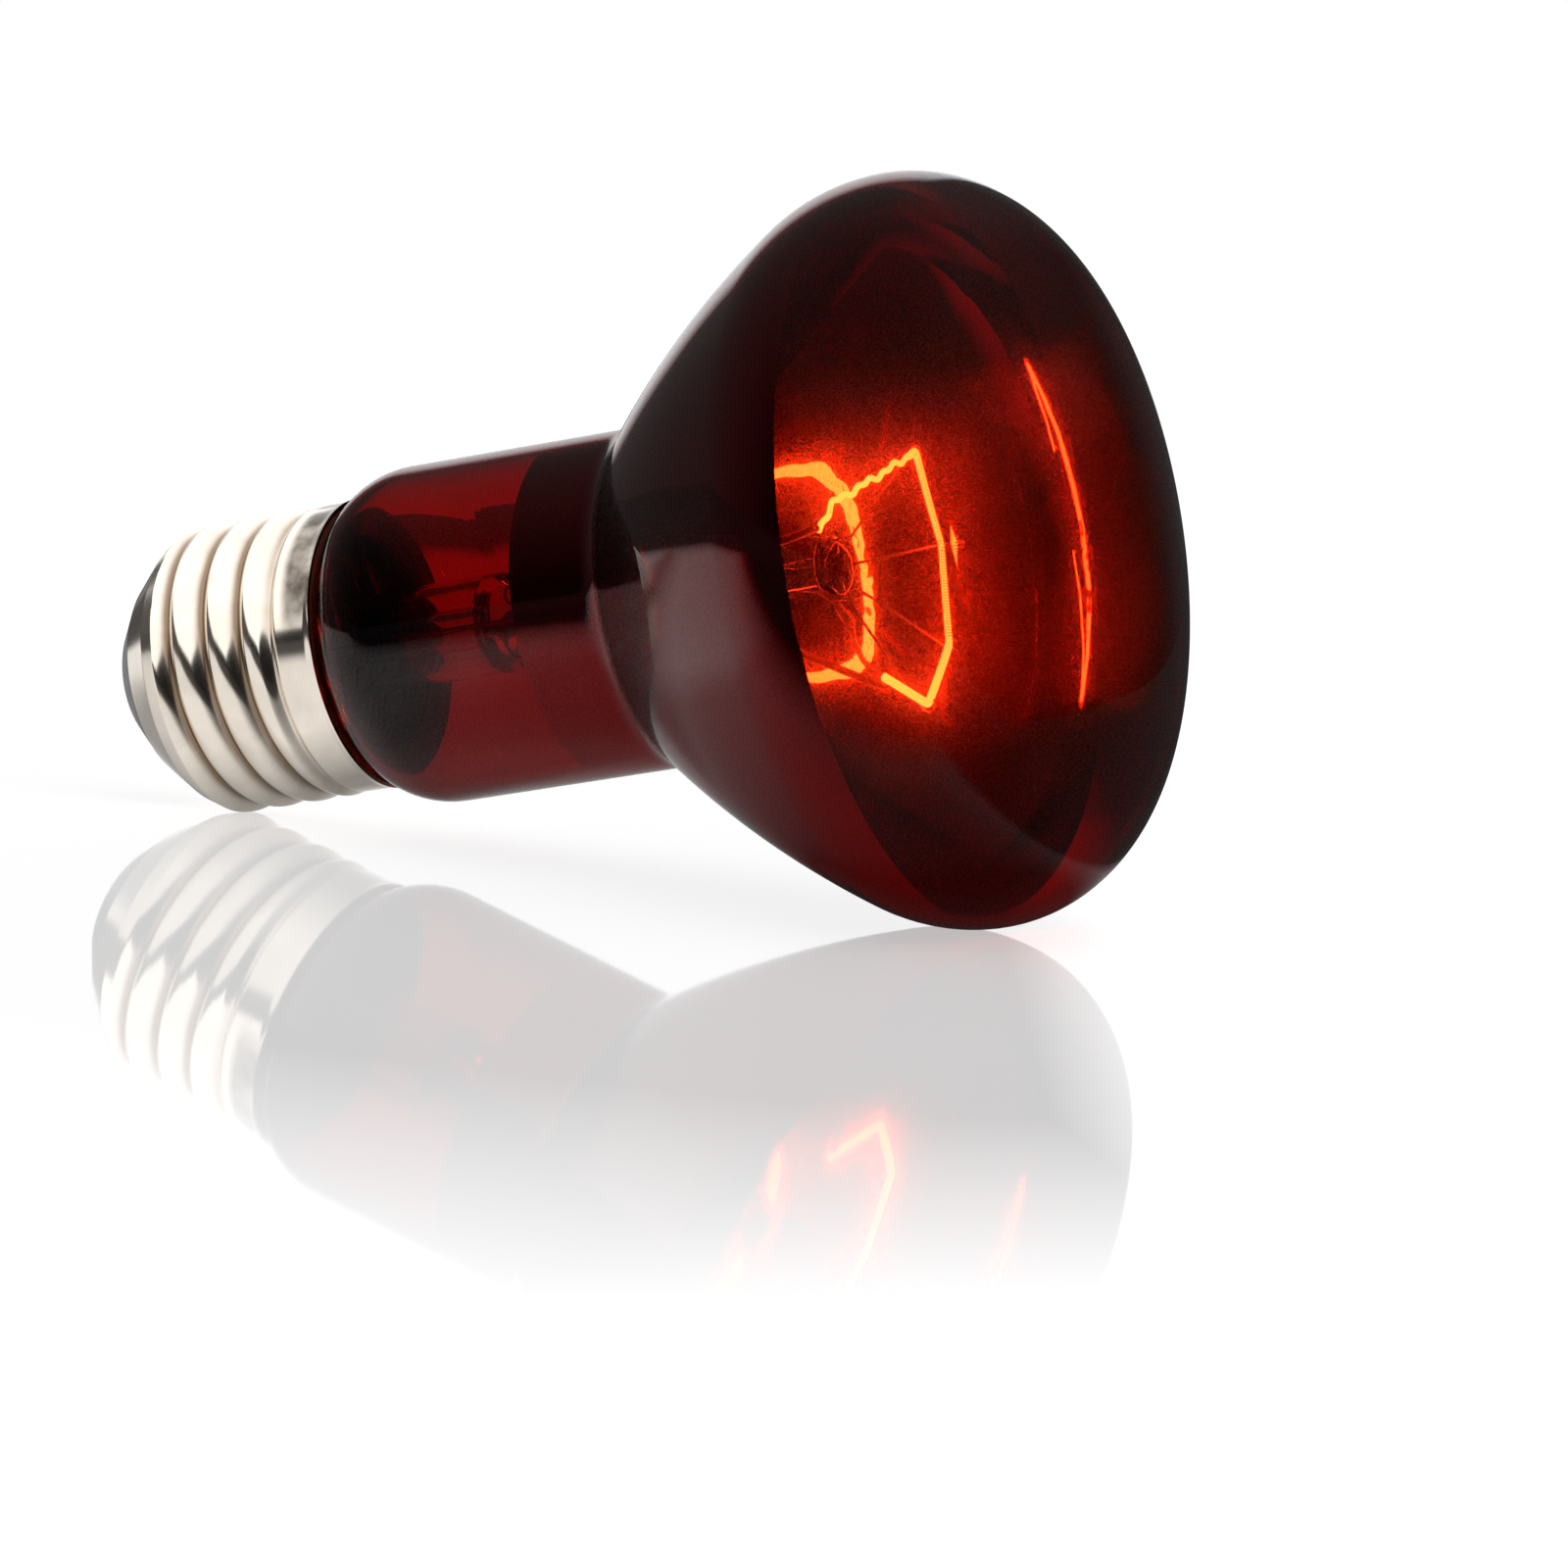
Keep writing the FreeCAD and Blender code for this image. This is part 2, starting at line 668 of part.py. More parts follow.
for index in range(SUPPORTS):
    support = new_body(f"support_wire_{index + 1}")
    path = outline(sketch_on(support, f"support_path_{index + 1}", "XZ_Plane"), hook_path, closed=False)
    doc.recompute()
    swept(support, f"support_sweep_{index + 1}", path, dim("support_wire") / 2)
    support_wires.append(support)

# Filament: a coil that runs round the hooks, with a slack run to its far end
def on_ring(radius, angle):
    """Return a point at a radius and an angle about the lamp's axis."""
    return (radius * cosine(angle), radius * sine(angle))


near_end = on_ring(dim("near_end_radius"), -dim("near_end_angle"))
far_end = on_ring(dim("far_end_radius"), -dim("far_end_angle"))
last_hook = on_ring(dim("ring_radius"), ring_angles[-1])
slack_point = (
    far_end[0] + (last_hook[0] - far_end[0]) * dim("slack_ratio") - dim("slack_rise"),
    far_end[1] + (last_hook[1] - far_end[1]) * dim("slack_ratio"),
)
filament = new_body("filament")
coil_path = outline(
    sketch_on(filament, "coil_path", "XY_Plane", ring_height),
    [near_end] + [on_ring(dim("ring_radius"), angle) for angle in ring_angles] + [slack_point, far_end],
    closed=False,
)
doc.recompute()
swept(filament, "coil", coil_path, dim("coil_diameter") / 2)

# Lead wires: from the press to the two ends of the filament
lead_half = derive("lead_half", dim("lead_spacing") / 2)
lead_beside = dim("coil_diameter") / 2 + dim("lead_wire") / 2 + dim("coil_gap")
near_tip = on_ring(dim("near_end_radius") + lead_beside, -dim("near_end_angle"))
far_tip = on_ring(dim("far_end_radius") + lead_beside, -dim("far_end_angle"))
lead_wires = []
lead_turns = []
for name, foot, tip in (("near", lead_half, near_tip), ("far", -lead_half, far_tip)):
    reach_across = derive(f"{name}_across", tip[0])
    reach_along = derive(f"{name}_along", tip[1] - foot)
    reach = derive(f"{name}_reach", root(reach_across * reach_across + reach_along * reach_along))
    lead_turns.append((foot, derive(f"{name}_turn", arc_tangent(reach_along, reach_across))))
    lead = new_body(f"lead_wire_{name}")
    path = outline(sketch_on(lead, f"lead_path_{name}", "XZ_Plane"), [
        (ZERO, lead_weld),
        (ZERO, lead_bend),
        (reach, ring_height + dim("coil_diameter") / 2),
    ], closed=False)
    doc.recompute()
    swept(lead, f"lead_sweep_{name}", path, dim("lead_wire") / 2)
    lead_wires.append(lead)

# Tails of the lead wires in the cap: one to the centre contact, one out over the skirt
side_radius = derive("side_radius", (throat_radius + core_bore) / 2)
edge_radius = derive("edge_radius", (cone_radius(dim("cap_height")) + skirt_bore) / 2)
tail_paths = {
    "centre": [
        (-lead_half, lead_weld),
        (-lead_half, tail_bend),
        (ZERO, dim("tail_join")),
        (ZERO, dim("tail_end")),
    ],
    "side": [
        (lead_half, lead_weld),
        (lead_half, tail_turn),
        (side_radius, tail_low),
        (side_radius, skirt_start),
        (edge_radius, dim("cap_height")),
    ],
}
tail_wires = {}
for name, corners in tail_paths.items():
    tail = new_body(f"tail_wire_{name}")
    path = outline(sketch_on(tail, f"tail_path_{name}", "YZ_Plane"), corners, closed=False)
    doc.recompute()
    swept(tail, f"tail_sweep_{name}", path, dim("tail_wire") / 2)
    tail_wires[name] = tail

# Side solder: a bead on the edge of the skirt, over the end of the side tail
side_ball = doc.addObject("Part::Sphere", "side_ball")
side_ball.setExpression("Radius", "Dimensions.side_solder_radius")

# Rest position: tangent to the floor at the round of the bowl and at the first full crest of the thread
crest_height = derive("crest_height", dim("thread_start") + dim("thread_pitch"))
rest_run = derive("rest_run", widest - crest_height)
rest_rise = derive("rest_rise", bowl_middle - crest_radius + dim("thread_round"))
rest_span = derive("rest_span", root(rest_run * rest_run + rest_rise * rest_rise))
rest_slope = arc_tangent(rest_rise, rest_run)
rest_drop = arc_sine((dim("bowl_radius") - dim("thread_round")) / rest_span)
tilt = derive("tilt", rest_slope + rest_drop)
axis_height = derive("axis_height", dim("bowl_radius") + bowl_middle * cosine(tilt) - widest * sine(tilt))
face_reach = derive("face_reach", face_middle * cosine(tilt) + dim("face_radius"))
contact_reach = derive("contact_reach", dim("contact_height") * cosine(tilt) - contact_radius * sine(tilt))
rest_offset = derive("rest_offset", -(face_reach + contact_reach) / 2)
LAY = (
    f"placement(vector({rest_offset.text}; 0; {axis_height.text}); "
    f"rotation(vector(0; 1; 0); 90 deg - {tilt.text}))"
)


def lay(item, foot=ZERO, turn=ZERO, height=ZERO):
    """Lay a sub-part down with the lamp, turned about the lamp's axis on its own foot."""
    own = (
        f"placement(vector(0; {foot.text}; {height.text}); "
        f"rotation(vector(0; 0; 1); {turn.text}))"
    )
    item.setExpression("Placement", f"{LAY} * {own}")


for item in (glass_envelope, mirror_film, cap_shell, cap_insulator, centre_contact, centre_bead,
             cement_ring, stem_blank, exhaust_tube, arbor_blank, filament):
    lay(item)
for wire in tail_wires.values():
    lay(wire)
for wire, angle in zip(support_wires, ring_angles):
    lay(wire, turn=angle)
for wire, (foot, turn) in zip(lead_wires, lead_turns):
    lay(wire, foot=foot, turn=turn)
lay(side_ball, foot=edge_radius, height=dim("cap_height"))
doc.recompute()


def set_in(label, base, tools):
    """Cut out of a piece the room that other pieces take up in it."""
    group = doc.addObject("Part::Compound", label + "_tools")
    group.Links = tools
    piece = doc.addObject("Part::Cut", label)
    piece.Label = label
    piece.Base = base
    piece.Tool = group
    return piece


glass_stem = set_in("glass_stem", stem_blank, lead_wires + list(tail_wires.values()))
glass_arbor = set_in("glass_arbor", arbor_blank, support_wires)
basing_cement = set_in("basing_cement", cement_ring, [tail_wires["side"]])
centre_solder = set_in("centre_solder", centre_bead, [tail_wires["centre"]])
side_solder = set_in(
    "side_solder", side_ball, [cap_shell, glass_envelope, cement_ring, tail_wires["side"]])
doc.recompute()

# Checks, then one file for each sub-part
subparts = [glass_envelope, mirror_film, cap_shell, cap_insulator, centre_contact, centre_solder,
            side_solder, basing_cement, glass_stem, exhaust_tube, glass_arbor, filament]
subparts += support_wires + lead_wires + list(tail_wires.values())
failed = [item.Name for item in doc.Objects if {"Invalid", "Error"} & set(item.State)]
failed += [item.Label for item in subparts if item.Shape.isNull() or not item.Shape.isValid()]
if failed:
    raise RuntimeError("these objects failed: " + ", ".join(failed))
for item in subparts:
    item.Shape.exportStep(f"parts/{item.Label}.step")
    print(item.Label, len(item.Shape.Solids), round(item.Shape.Volume, 2))
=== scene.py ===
# %% [markdown]
# # A ruby heat lamp, from frame to picture
# The lamp lies on its side on a white table. Its solids come from the imported frame. This lesson keeps the
# small solids, draws smooth skins over the glass and the metal, where facets would show, and gives every
# piece the finish of its real material. The frame is loaded first.

# %% Load the frame
import math

import bmesh
import bpy
import numpy as np
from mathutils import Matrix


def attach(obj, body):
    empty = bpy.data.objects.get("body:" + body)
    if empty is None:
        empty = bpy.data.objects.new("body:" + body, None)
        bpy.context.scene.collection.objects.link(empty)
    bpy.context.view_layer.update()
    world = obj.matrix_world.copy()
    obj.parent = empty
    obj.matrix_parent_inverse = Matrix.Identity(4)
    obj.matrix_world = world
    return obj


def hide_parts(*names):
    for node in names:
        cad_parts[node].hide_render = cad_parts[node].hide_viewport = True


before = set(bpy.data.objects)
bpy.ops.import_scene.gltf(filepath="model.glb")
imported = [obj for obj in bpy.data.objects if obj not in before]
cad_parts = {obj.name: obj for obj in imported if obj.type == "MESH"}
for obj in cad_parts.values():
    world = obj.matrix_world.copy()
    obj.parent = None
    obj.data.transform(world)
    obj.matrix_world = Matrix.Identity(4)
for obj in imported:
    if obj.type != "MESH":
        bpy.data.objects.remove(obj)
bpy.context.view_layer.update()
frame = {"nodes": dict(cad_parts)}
print("frame nodes:", len(frame["nodes"]))

# %% [markdown]
# ## The lamp's own axes
# Every piece of this lamp was made on a lathe or hung round one axis, so its shape is simple in the
# lamp's own axes: z runs from the tip of the cap to the face, x points down and y across. The lamp is
# then laid down, resting on the round of its bowl and the first crest of its thread, so its axis leans.
# All sizes below are millimetres in the lamp's axes, and one function turns them into places in the scene.

# %% Lay points down with the lamp
MM = 0.001
TILT = math.radians(15.801)
TIP_ALONG = -47.841
TIP_UP = 10.309


def lay_down(points):
    """Scene place in metres of points in the lamp's axes: the axis leans up by the tilt,
    so along = tip + x sin(tilt) + z cos(tilt) and up = tip - x cos(tilt) + z sin(tilt)."""
    x, y, z = np.moveaxis(np.asarray(points, dtype=float), -1, 0)
    along = TIP_ALONG + x * math.sin(TILT) + z * math.cos(TILT)
    up = TIP_UP - x * math.cos(TILT) + z * math.sin(TILT)
    return np.stack([along, y, up], axis=-1) * MM


# %% [markdown]
# ## From a grid of points to a skin
# A surface with two parameters is a grid of points. Each cell of the grid is a four-sided face, and a
# grid that goes round is joined to itself. Where a row shrinks to a point, as at the middle of the
# face, its points are merged, so the skin has no slit there. The faces are then turned outwards, which
# matters for glass: light has to know on which side of a face it is inside the wall.

# %% Skin and lathe helpers
SHARP_EDGE = math.radians(40)
MERGE = 1e-7


def skin(name, grid, nodes=(), rows_meet=False, marks=None):
    """Mesh piece from a grid of points in the lamp's axes. Each cell is a quad, columns always meet
    round the piece, and rows meet too where rows_meet says so. marks holds values for the points."""
    rows, columns = grid.shape[:2]
    number = np.arange(rows * columns).reshape(rows, columns)
    number = np.hstack([number, number[:, :1]])
    if rows_meet:
        number = np.vstack([number, number[:1]])
    cells = [number[:-1, :-1], number[:-1, 1:], number[1:, 1:], number[1:, :-1]]
    quads = np.stack(cells, axis=-1).reshape(-1, 4)
    mesh = bpy.data.meshes.new(name)
    mesh.from_pydata(lay_down(grid).reshape(-1, 3).tolist(), [], quads.tolist())
    for mark, values in (marks or {}).items():
        layer = mesh.attributes.new(mark, "FLOAT", "POINT")
        layer.data.foreach_set("value", np.ascontiguousarray(values, dtype=np.float32).ravel())
    work = bmesh.new()
    work.from_mesh(mesh)
    bmesh.ops.remove_doubles(work, verts=work.verts, dist=MERGE)
    bmesh.ops.recalc_face_normals(work, faces=work.faces)
    work.to_mesh(mesh)
    work.free()
    mesh.shade_smooth()
    mesh.set_sharp_from_angle(angle=SHARP_EDGE)
    piece = bpy.data.objects.new(name, mesh)
    bpy.context.scene.collection.objects.link(piece)
    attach(piece, "root")
    if nodes:
        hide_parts(*nodes)
    print(name, "faces:", len(mesh.polygons))
    return piece


def lathe(profile, around=192):
    """Grid of a profile of (radius, height) carried round the axis: (r cos t, r sin t, z)."""
    turn = np.linspace(0.0, 2.0 * np.pi, around, endpoint=False)
    radius = profile[:, :1]
    height = profile[:, 1:] + 0.0 * turn
    return np.stack([radius * np.cos(turn), radius * np.sin(turn), height], axis=-1)


def arc(middle, radius, start, end, step=0.7):
    """Points on an arc in the plane of radius and height: middle + radius (cos a, sin a)."""
    count = max(7, math.ceil(abs(end - start) * radius / step))
    angle = np.linspace(start, end, count)
    return np.stack([middle[0] + radius * np.cos(angle), middle[1] + radius * np.sin(angle)], axis=-1)


def straight(start, end, count=2):
    """Points at even spacing on a straight line of the profile."""
    return np.linspace(start, end, count)


def joined(*runs):
    """One profile from several runs, where a run that starts at the last point drops its copy."""
    chain = [runs[0]]
    for run in runs[1:]:
        same = np.allclose(run[0], chain[-1][-1], atol=1e-6)
        chain.append(run[1:] if same else run)
    return np.vstack(chain)


# %% [markdown]
# ## The bulb's wall
# The real bulb is blown into a mould: a collar, a straight neck, a small fillet, a long flank, the
# round of the bowl, the rim and a shallow domed face, each an arc that runs smoothly into the next.
# A chain of tangent arcs gives the same unbroken highlights as the real glass. Setting the chain in by
# the wall's thickness gives the inside, because arcs about the same centres stay parallel.

# %% Profile of the glass wall
BULB_RADIUS = 33.2
NECK_RADIUS = 15.2
THROAT_RADIUS = 11.0
GLASS_WALL = 0.9
WIDEST = 81.5
BOWL_ROUND = 14.7
BOWL_TURN = math.radians(31.1)
FLANK_ROUND = 92.8
NECK_FILLET = 3.0
RIM_ROUND = 12.3
FACE_ROUND = 80.1
COLLAR_HEIGHT = 31.0
COLLAR_ROUND = 8.0
COLLAR_TURN = math.radians(46.0)
SEAL_HEIGHT = 18.5
BOWL_MIDDLE = BULB_RADIUS - BOWL_ROUND
RIM_MIDDLE = BULB_RADIUS - RIM_ROUND
FLANK_MIDDLE = BOWL_MIDDLE - (FLANK_ROUND - BOWL_ROUND) * math.cos(BOWL_TURN)
FLANK_HEIGHT = WIDEST + (FLANK_ROUND - BOWL_ROUND) * math.sin(BOWL_TURN)
FILLET_MIDDLE = NECK_RADIUS + NECK_FILLET
FILLET_TURN = math.acos((FILLET_MIDDLE - FLANK_MIDDLE) / (FLANK_ROUND + NECK_FILLET))
FILLET_HEIGHT = FLANK_HEIGHT - (FLANK_ROUND + NECK_FILLET) * math.sin(FILLET_TURN)
FACE_TURN = math.acos(RIM_MIDDLE / (FACE_ROUND - RIM_ROUND))
FACE_MIDDLE = WIDEST - (FACE_ROUND - RIM_ROUND) * math.sin(FACE_TURN)


def collar_run(inset):
    """Throat, cone and rounded collar, up to the start of the straight neck."""
    collar = arc((NECK_RADIUS - COLLAR_ROUND, COLLAR_HEIGHT), COLLAR_ROUND - inset, -COLLAR_TURN, 0.0)
    drop = (collar[0][0] - THROAT_RADIUS + inset) / math.tan(COLLAR_TURN)
    corner = (THROAT_RADIUS - inset, collar[0][1] - drop)
    throat = straight((THROAT_RADIUS - inset, SEAL_HEIGHT), corner, 6)
    return joined(throat, straight(corner, collar[0], 6), collar)


def bowl_run(inset, start, end_height):
    """Neck from a height, fillet, flank and round of the bowl, up to another height."""
    radius = BOWL_ROUND - inset
    end_turn = math.asin(max(-1.0, min(0.0, (end_height - WIDEST) / radius)))
    neck = straight((NECK_RADIUS - inset, start), (NECK_RADIUS - inset, FILLET_HEIGHT), 24)
    fillet = arc((FILLET_MIDDLE, FILLET_HEIGHT), NECK_FILLET + inset, math.pi, math.pi - FILLET_TURN, 0.2)
    flank = arc((FLANK_MIDDLE, FLANK_HEIGHT), FLANK_ROUND - inset, -FILLET_TURN, -BOWL_TURN)
    bowl = arc((BOWL_MIDDLE, WIDEST), radius, -BOWL_TURN, end_turn, 0.4)
    return joined(neck, fillet, flank, bowl)


def face_run(inset):
    """Rim and domed face, up to the middle of the face."""
    rim = arc((RIM_MIDDLE, WIDEST), RIM_ROUND - inset, 0.0, FACE_TURN, 0.4)
    face = arc((0.0, FACE_MIDDLE), FACE_ROUND - inset, FACE_TURN, math.pi / 2)
    face[-1][0] = 0.0
    return joined(rim, face)


def bulb_wall(inset):
    """Whole wall from the throat to the middle of the face, set in from the outside."""
    return joined(collar_run(inset), bowl_run(inset, COLLAR_HEIGHT, WIDEST), face_run(inset))


glass_profile = np.vstack([bulb_wall(0.0)[::-1], bulb_wall(GLASS_WALL)])
ruby_bulb = skin("ruby_bulb", lathe(glass_profile), ["glass_envelope"])

# %% [markdown]
# ## The mirror film
# Aluminium vapour settles on the inside of the bowl and the upper neck while the bulb is masked, so
# the film is bounded by two neat circles. It follows the glass wall, a hair inside it, so that light
# leaves the glass before it meets the metal.

# %% Mirror on the inside of the bowl
MIRROR_START = 45.9
MIRROR_END = 81.1
MIRROR_GAP = 0.03
MIRROR_FILM = 0.08
film_back = bowl_run(GLASS_WALL + MIRROR_GAP, MIRROR_START, MIRROR_END)
film_front = bowl_run(GLASS_WALL + MIRROR_FILM, MIRROR_START, MIRROR_END)
mirror_profile = np.vstack([film_back, film_front[::-1]])
mirror_coat = skin("mirror_coat", lathe(mirror_profile), ["mirror_film"], rows_meet=True)

# %% [markdown]
# ## The rolled screw thread
# The cap is drawn from thin sheet, and its screw thread is rolled into it, so the broad crests and the
# narrow roots are arcs that run into each other. A spiral sweep would give a hard seam at each turn.
# Here the shell is one grid of height and turn, and the radius at each point follows from how far the
# point lies from the nearest crest of the helix. A cone cuts the thread off at the nose, and under the
# skirt it fades out.

# %% Screw shell
THREAD_CREST = 13.2
THREAD_PITCH = 3.629
CREST_ROUND = 1.9
CREST_HALF = 1.45
THREAD_START = 5.3
THREAD_LAST = 0.3
SHELL_WALL = 0.35
OUTER_ROWS = 260
INNER_ROWS = 130
NOSE_HEIGHTS = (3.8, 6.9, 8.6)
NOSE_RADII = (9.4, 12.2, 13.2)
NOSE_LIFT = 0.539
SKIRT_RADIUS = 13.0
SKIRT_START = 21.2
SKIRT_CONE = 0.9
CAP_EDGE = 24.7
LIP_FLARE = 0.16
LIP_HEIGHT = 0.7
# Where the painted shade lies on the skirt, standing in for the dark bulb reflected there.
SKIRT_SHADE_HEIGHTS = (21.4, 22.6)
SKIRT_SHADE_START = np.radians([150.0, 175.0])
SKIRT_SHADE_END = np.radians([254.0, 272.0])
ROOT_HALF = THREAD_PITCH / 2 - CREST_HALF
ROOT_ROUND = CREST_ROUND * ROOT_HALF / CREST_HALF
RIDGE_FULL = (CREST_ROUND + ROOT_ROUND) * (1.0 - math.sqrt(1.0 - (CREST_HALF / CREST_ROUND) ** 2))
ROOT_RADIUS = THREAD_CREST - RIDGE_FULL


def fade(value, start, end):
    """Smooth step from 0 at start to 1 at end: 3 s^2 - 2 s^3."""
    share = np.clip((value - start) / (end - start), 0.0, 1.0)
    return share * share * (3.0 - 2.0 * share)


def ridge_height(turn, height):
    """Height of the rolled thread over its root: a broad round crest about the helix line, and a
    narrow round root half a pitch away from it, whose arcs meet at the same slope."""
    place = height - THREAD_START - THREAD_PITCH * turn / (2.0 * np.pi)
    away = np.abs((place + THREAD_PITCH / 2) % THREAD_PITCH - THREAD_PITCH / 2)
    from_root = np.minimum(THREAD_PITCH / 2 - away, ROOT_HALF)
    crest = RIDGE_FULL - CREST_ROUND + np.sqrt(np.maximum(CREST_ROUND ** 2 - away ** 2, 0.0))
    root = ROOT_ROUND - np.sqrt(ROOT_ROUND ** 2 - from_root ** 2)
    return np.where(away < CREST_HALF, crest, root)


def shell_side(inset, lift, rows, around=180):
    """Grid of one side of the sheet, and for each point how deep it lies in a root and how much of the
    skirt's painted shade it gets.
    The barrel is the root plus the ridge, skirt and flared lip, and the cone of the nose cuts it off."""
    turn = np.linspace(0.0, 2.0 * np.pi, around, endpoint=False)[None, :]
    height = np.linspace(NOSE_HEIGHTS[0] + lift, CAP_EDGE, rows)[:, None] + 0.0 * turn
    threaded = 1.0 - fade(height, SKIRT_START - 2.0 * SKIRT_CONE, SKIRT_START - THREAD_LAST)
    ridge = ridge_height(turn, height) * threaded
    skirt = (SKIRT_RADIUS - ROOT_RADIUS) * fade(height, SKIRT_START - SKIRT_CONE, SKIRT_START)
    lip = LIP_FLARE * fade(height, CAP_EDGE - LIP_HEIGHT, CAP_EDGE)
    barrel = ROOT_RADIUS - inset + ridge + skirt + lip
    nose = np.interp(height - lift, NOSE_HEIGHTS, NOSE_RADII, right=2.0 * THREAD_CREST)
    radius = np.minimum(barrel, nose)
    # The root depth drives the painted shade in the roots of the thread.
    depth = (1.0 - ridge / RIDGE_FULL) ** 3 * threaded * fade(height, *NOSE_HEIGHTS[1:])
    # Painted shade on one side of the skirt, for the dark reflection of the bulb.
    painted_skirt_shade = fade(height, *SKIRT_SHADE_HEIGHTS) * fade(turn, *SKIRT_SHADE_START) * (1.0 - fade(turn, *SKIRT_SHADE_END))
    grid = np.stack([radius * np.cos(turn), radius * np.sin(turn), height], axis=-1)
    return grid, {"root_depth": depth, "painted_skirt_shade": painted_skirt_shade}


outer_grid, outer_marks = shell_side(0.0, 0.0, OUTER_ROWS)
inner_grid, inner_marks = shell_side(SHELL_WALL, NOSE_LIFT, INNER_ROWS)
shell_grid = np.vstack([outer_grid, inner_grid[::-1]])
shell_marks = {mark: np.vstack([outer_marks[mark], inner_marks[mark][::-1]]) for mark in outer_marks}
screw_shell = skin("screw_shell", shell_grid, ["cap_shell"], True, shell_marks)

# %% [markdown]
# ## The black insulator
# A ring of black glass is pressed into the nose of the shell and keeps the centre contact apart from
# it. Pressed glass has no sharp corners, so each corner of its profile is rounded by a short curve.

# %% Pressed glass insulator
CORNER_CUT = 0.35
CUT_LIMIT = 0.45
CURVE_POINTS = 6


def softened(corners, cut=CORNER_CUT):
    """Closed profile whose corners are rounded: each corner becomes a quadratic curve from the point
    one cut before it to the point one cut after it."""
    corners = np.asarray(corners, dtype=float)
    before = np.roll(corners, 1, axis=0) - corners
    after = np.roll(corners, -1, axis=0) - corners
    reach = [np.linalg.norm(side, axis=1, keepdims=True) for side in (before, after)]
    first = corners + before / reach[0] * np.minimum(cut, reach[0] * CUT_LIMIT)
    last = corners + after / reach[1] * np.minimum(cut, reach[1] * CUT_LIMIT)
    share = np.linspace(0.0, 1.0, CURVE_POINTS)[None, :, None]
    middle = 2.0 * share * (1.0 - share)
    curve = first[:, None] * (1.0 - share) ** 2 + corners[:, None] * middle + last[:, None] * share ** 2
    return curve.reshape(-1, 2)


insulator_profile = softened([
    (1.2, 1.0), (5.8, 1.0), (9.34, 3.76), (9.34, 4.3), (11.72, 7.1), (11.72, 8.6), (1.2, 6.0),
])
insulator_ring = skin("insulator_ring", lathe(insulator_profile, 128), ["cap_insulator"], True)

# %% [markdown]
# ## Stem, press and arbor
# Inside the neck stands the mount: a flared glass tube, squeezed flat at its top while hot so that it
# grips the wires, and a thin rod with a button for the support wires. The tube is round and the press
# is flat, so the grid carries a section that changes on its way up: its two half widths and the power
# of its outline blend from a circle to a rounded slab.

# %% Glass mount
STEM_RADIUS = 4.5
STEM_BORE = 3.6
FLARE_ROUND = 5.6
PRESS_START = 38.0
PRESS_SHOULDER = 43.0
PRESS_END = 48.0
PRESS_THICK = 1.8
PRESS_WIDE = 5.5
STEM_WALL = 0.9
ROOF_DROP = 1.5
PRESS_ROUND = 0.8
PRESS_SQUARE = 0.45


def stem_sections():
    """Rows of (half thickness, half width, height, flatness) from inside the roof, down the bore, round
    the edge of the flare, up the outside and over the top of the press."""
    flare_top = SEAL_HEIGHT + FLARE_ROUND
    roof = PRESS_START - ROOF_DROP
    outside = FLARE_ROUND + STEM_RADIUS
    bore = joined(
        straight((0.0, roof), (STEM_BORE, roof), 6),
        straight((STEM_BORE, roof), (STEM_BORE, flare_top), 10),
        arc((outside, flare_top), FLARE_ROUND + STEM_WALL, math.pi, 1.5 * math.pi, 0.5),
    )
    flare = arc((outside, flare_top), FLARE_ROUND, 1.5 * math.pi, math.pi, 0.5)
    tube = joined(flare, straight((STEM_RADIUS, flare_top), (STEM_RADIUS, PRESS_START), 10))
    round_rows = np.vstack([bore, tube])
    rows = [np.stack([round_rows[:, 0], round_rows[:, 0], round_rows[:, 1], 0 * round_rows[:, 0]], axis=-1)]
    height = np.linspace(PRESS_START, PRESS_END - PRESS_ROUND, 22)[1:]
    flat = fade(height, PRESS_START, PRESS_SHOULDER)
    thick = STEM_RADIUS + (PRESS_THICK - STEM_RADIUS) * flat
    wide = STEM_RADIUS + (PRESS_WIDE - STEM_RADIUS) * flat
    rows.append(np.stack([thick, wide, height, flat], axis=-1))
    over = np.linspace(0.0, math.pi / 2, 8)[1:]
    shrink = PRESS_ROUND * (1.0 - np.cos(over))
    rows.append(np.stack([PRESS_THICK - shrink, PRESS_WIDE - shrink,
                          PRESS_END - PRESS_ROUND + PRESS_ROUND * np.sin(over), 1.0 + 0 * over], axis=-1))
    rows.append(np.array([[0.0, 0.0, PRESS_END, 1.0]]))
    return np.vstack(rows)


def squeezed(sections, around=96):
    """Grid of sections that go from a circle to a slab: x = a |cos t|^p, y = b |sin t|^p with the sign
    of cosine and sine, where the power p falls from 1 to about a half as the glass is squeezed."""
    turn = np.linspace(0.0, 2.0 * np.pi, around, endpoint=False)
    power = 1.0 - PRESS_SQUARE * sections[:, 3:4]
    x = sections[:, :1] * np.sign(np.cos(turn)) * np.abs(np.cos(turn)) ** power
    y = sections[:, 1:2] * np.sign(np.sin(turn)) * np.abs(np.sin(turn)) ** power
    return np.stack([x, y, sections[:, 2:3] + 0.0 * turn], axis=-1)


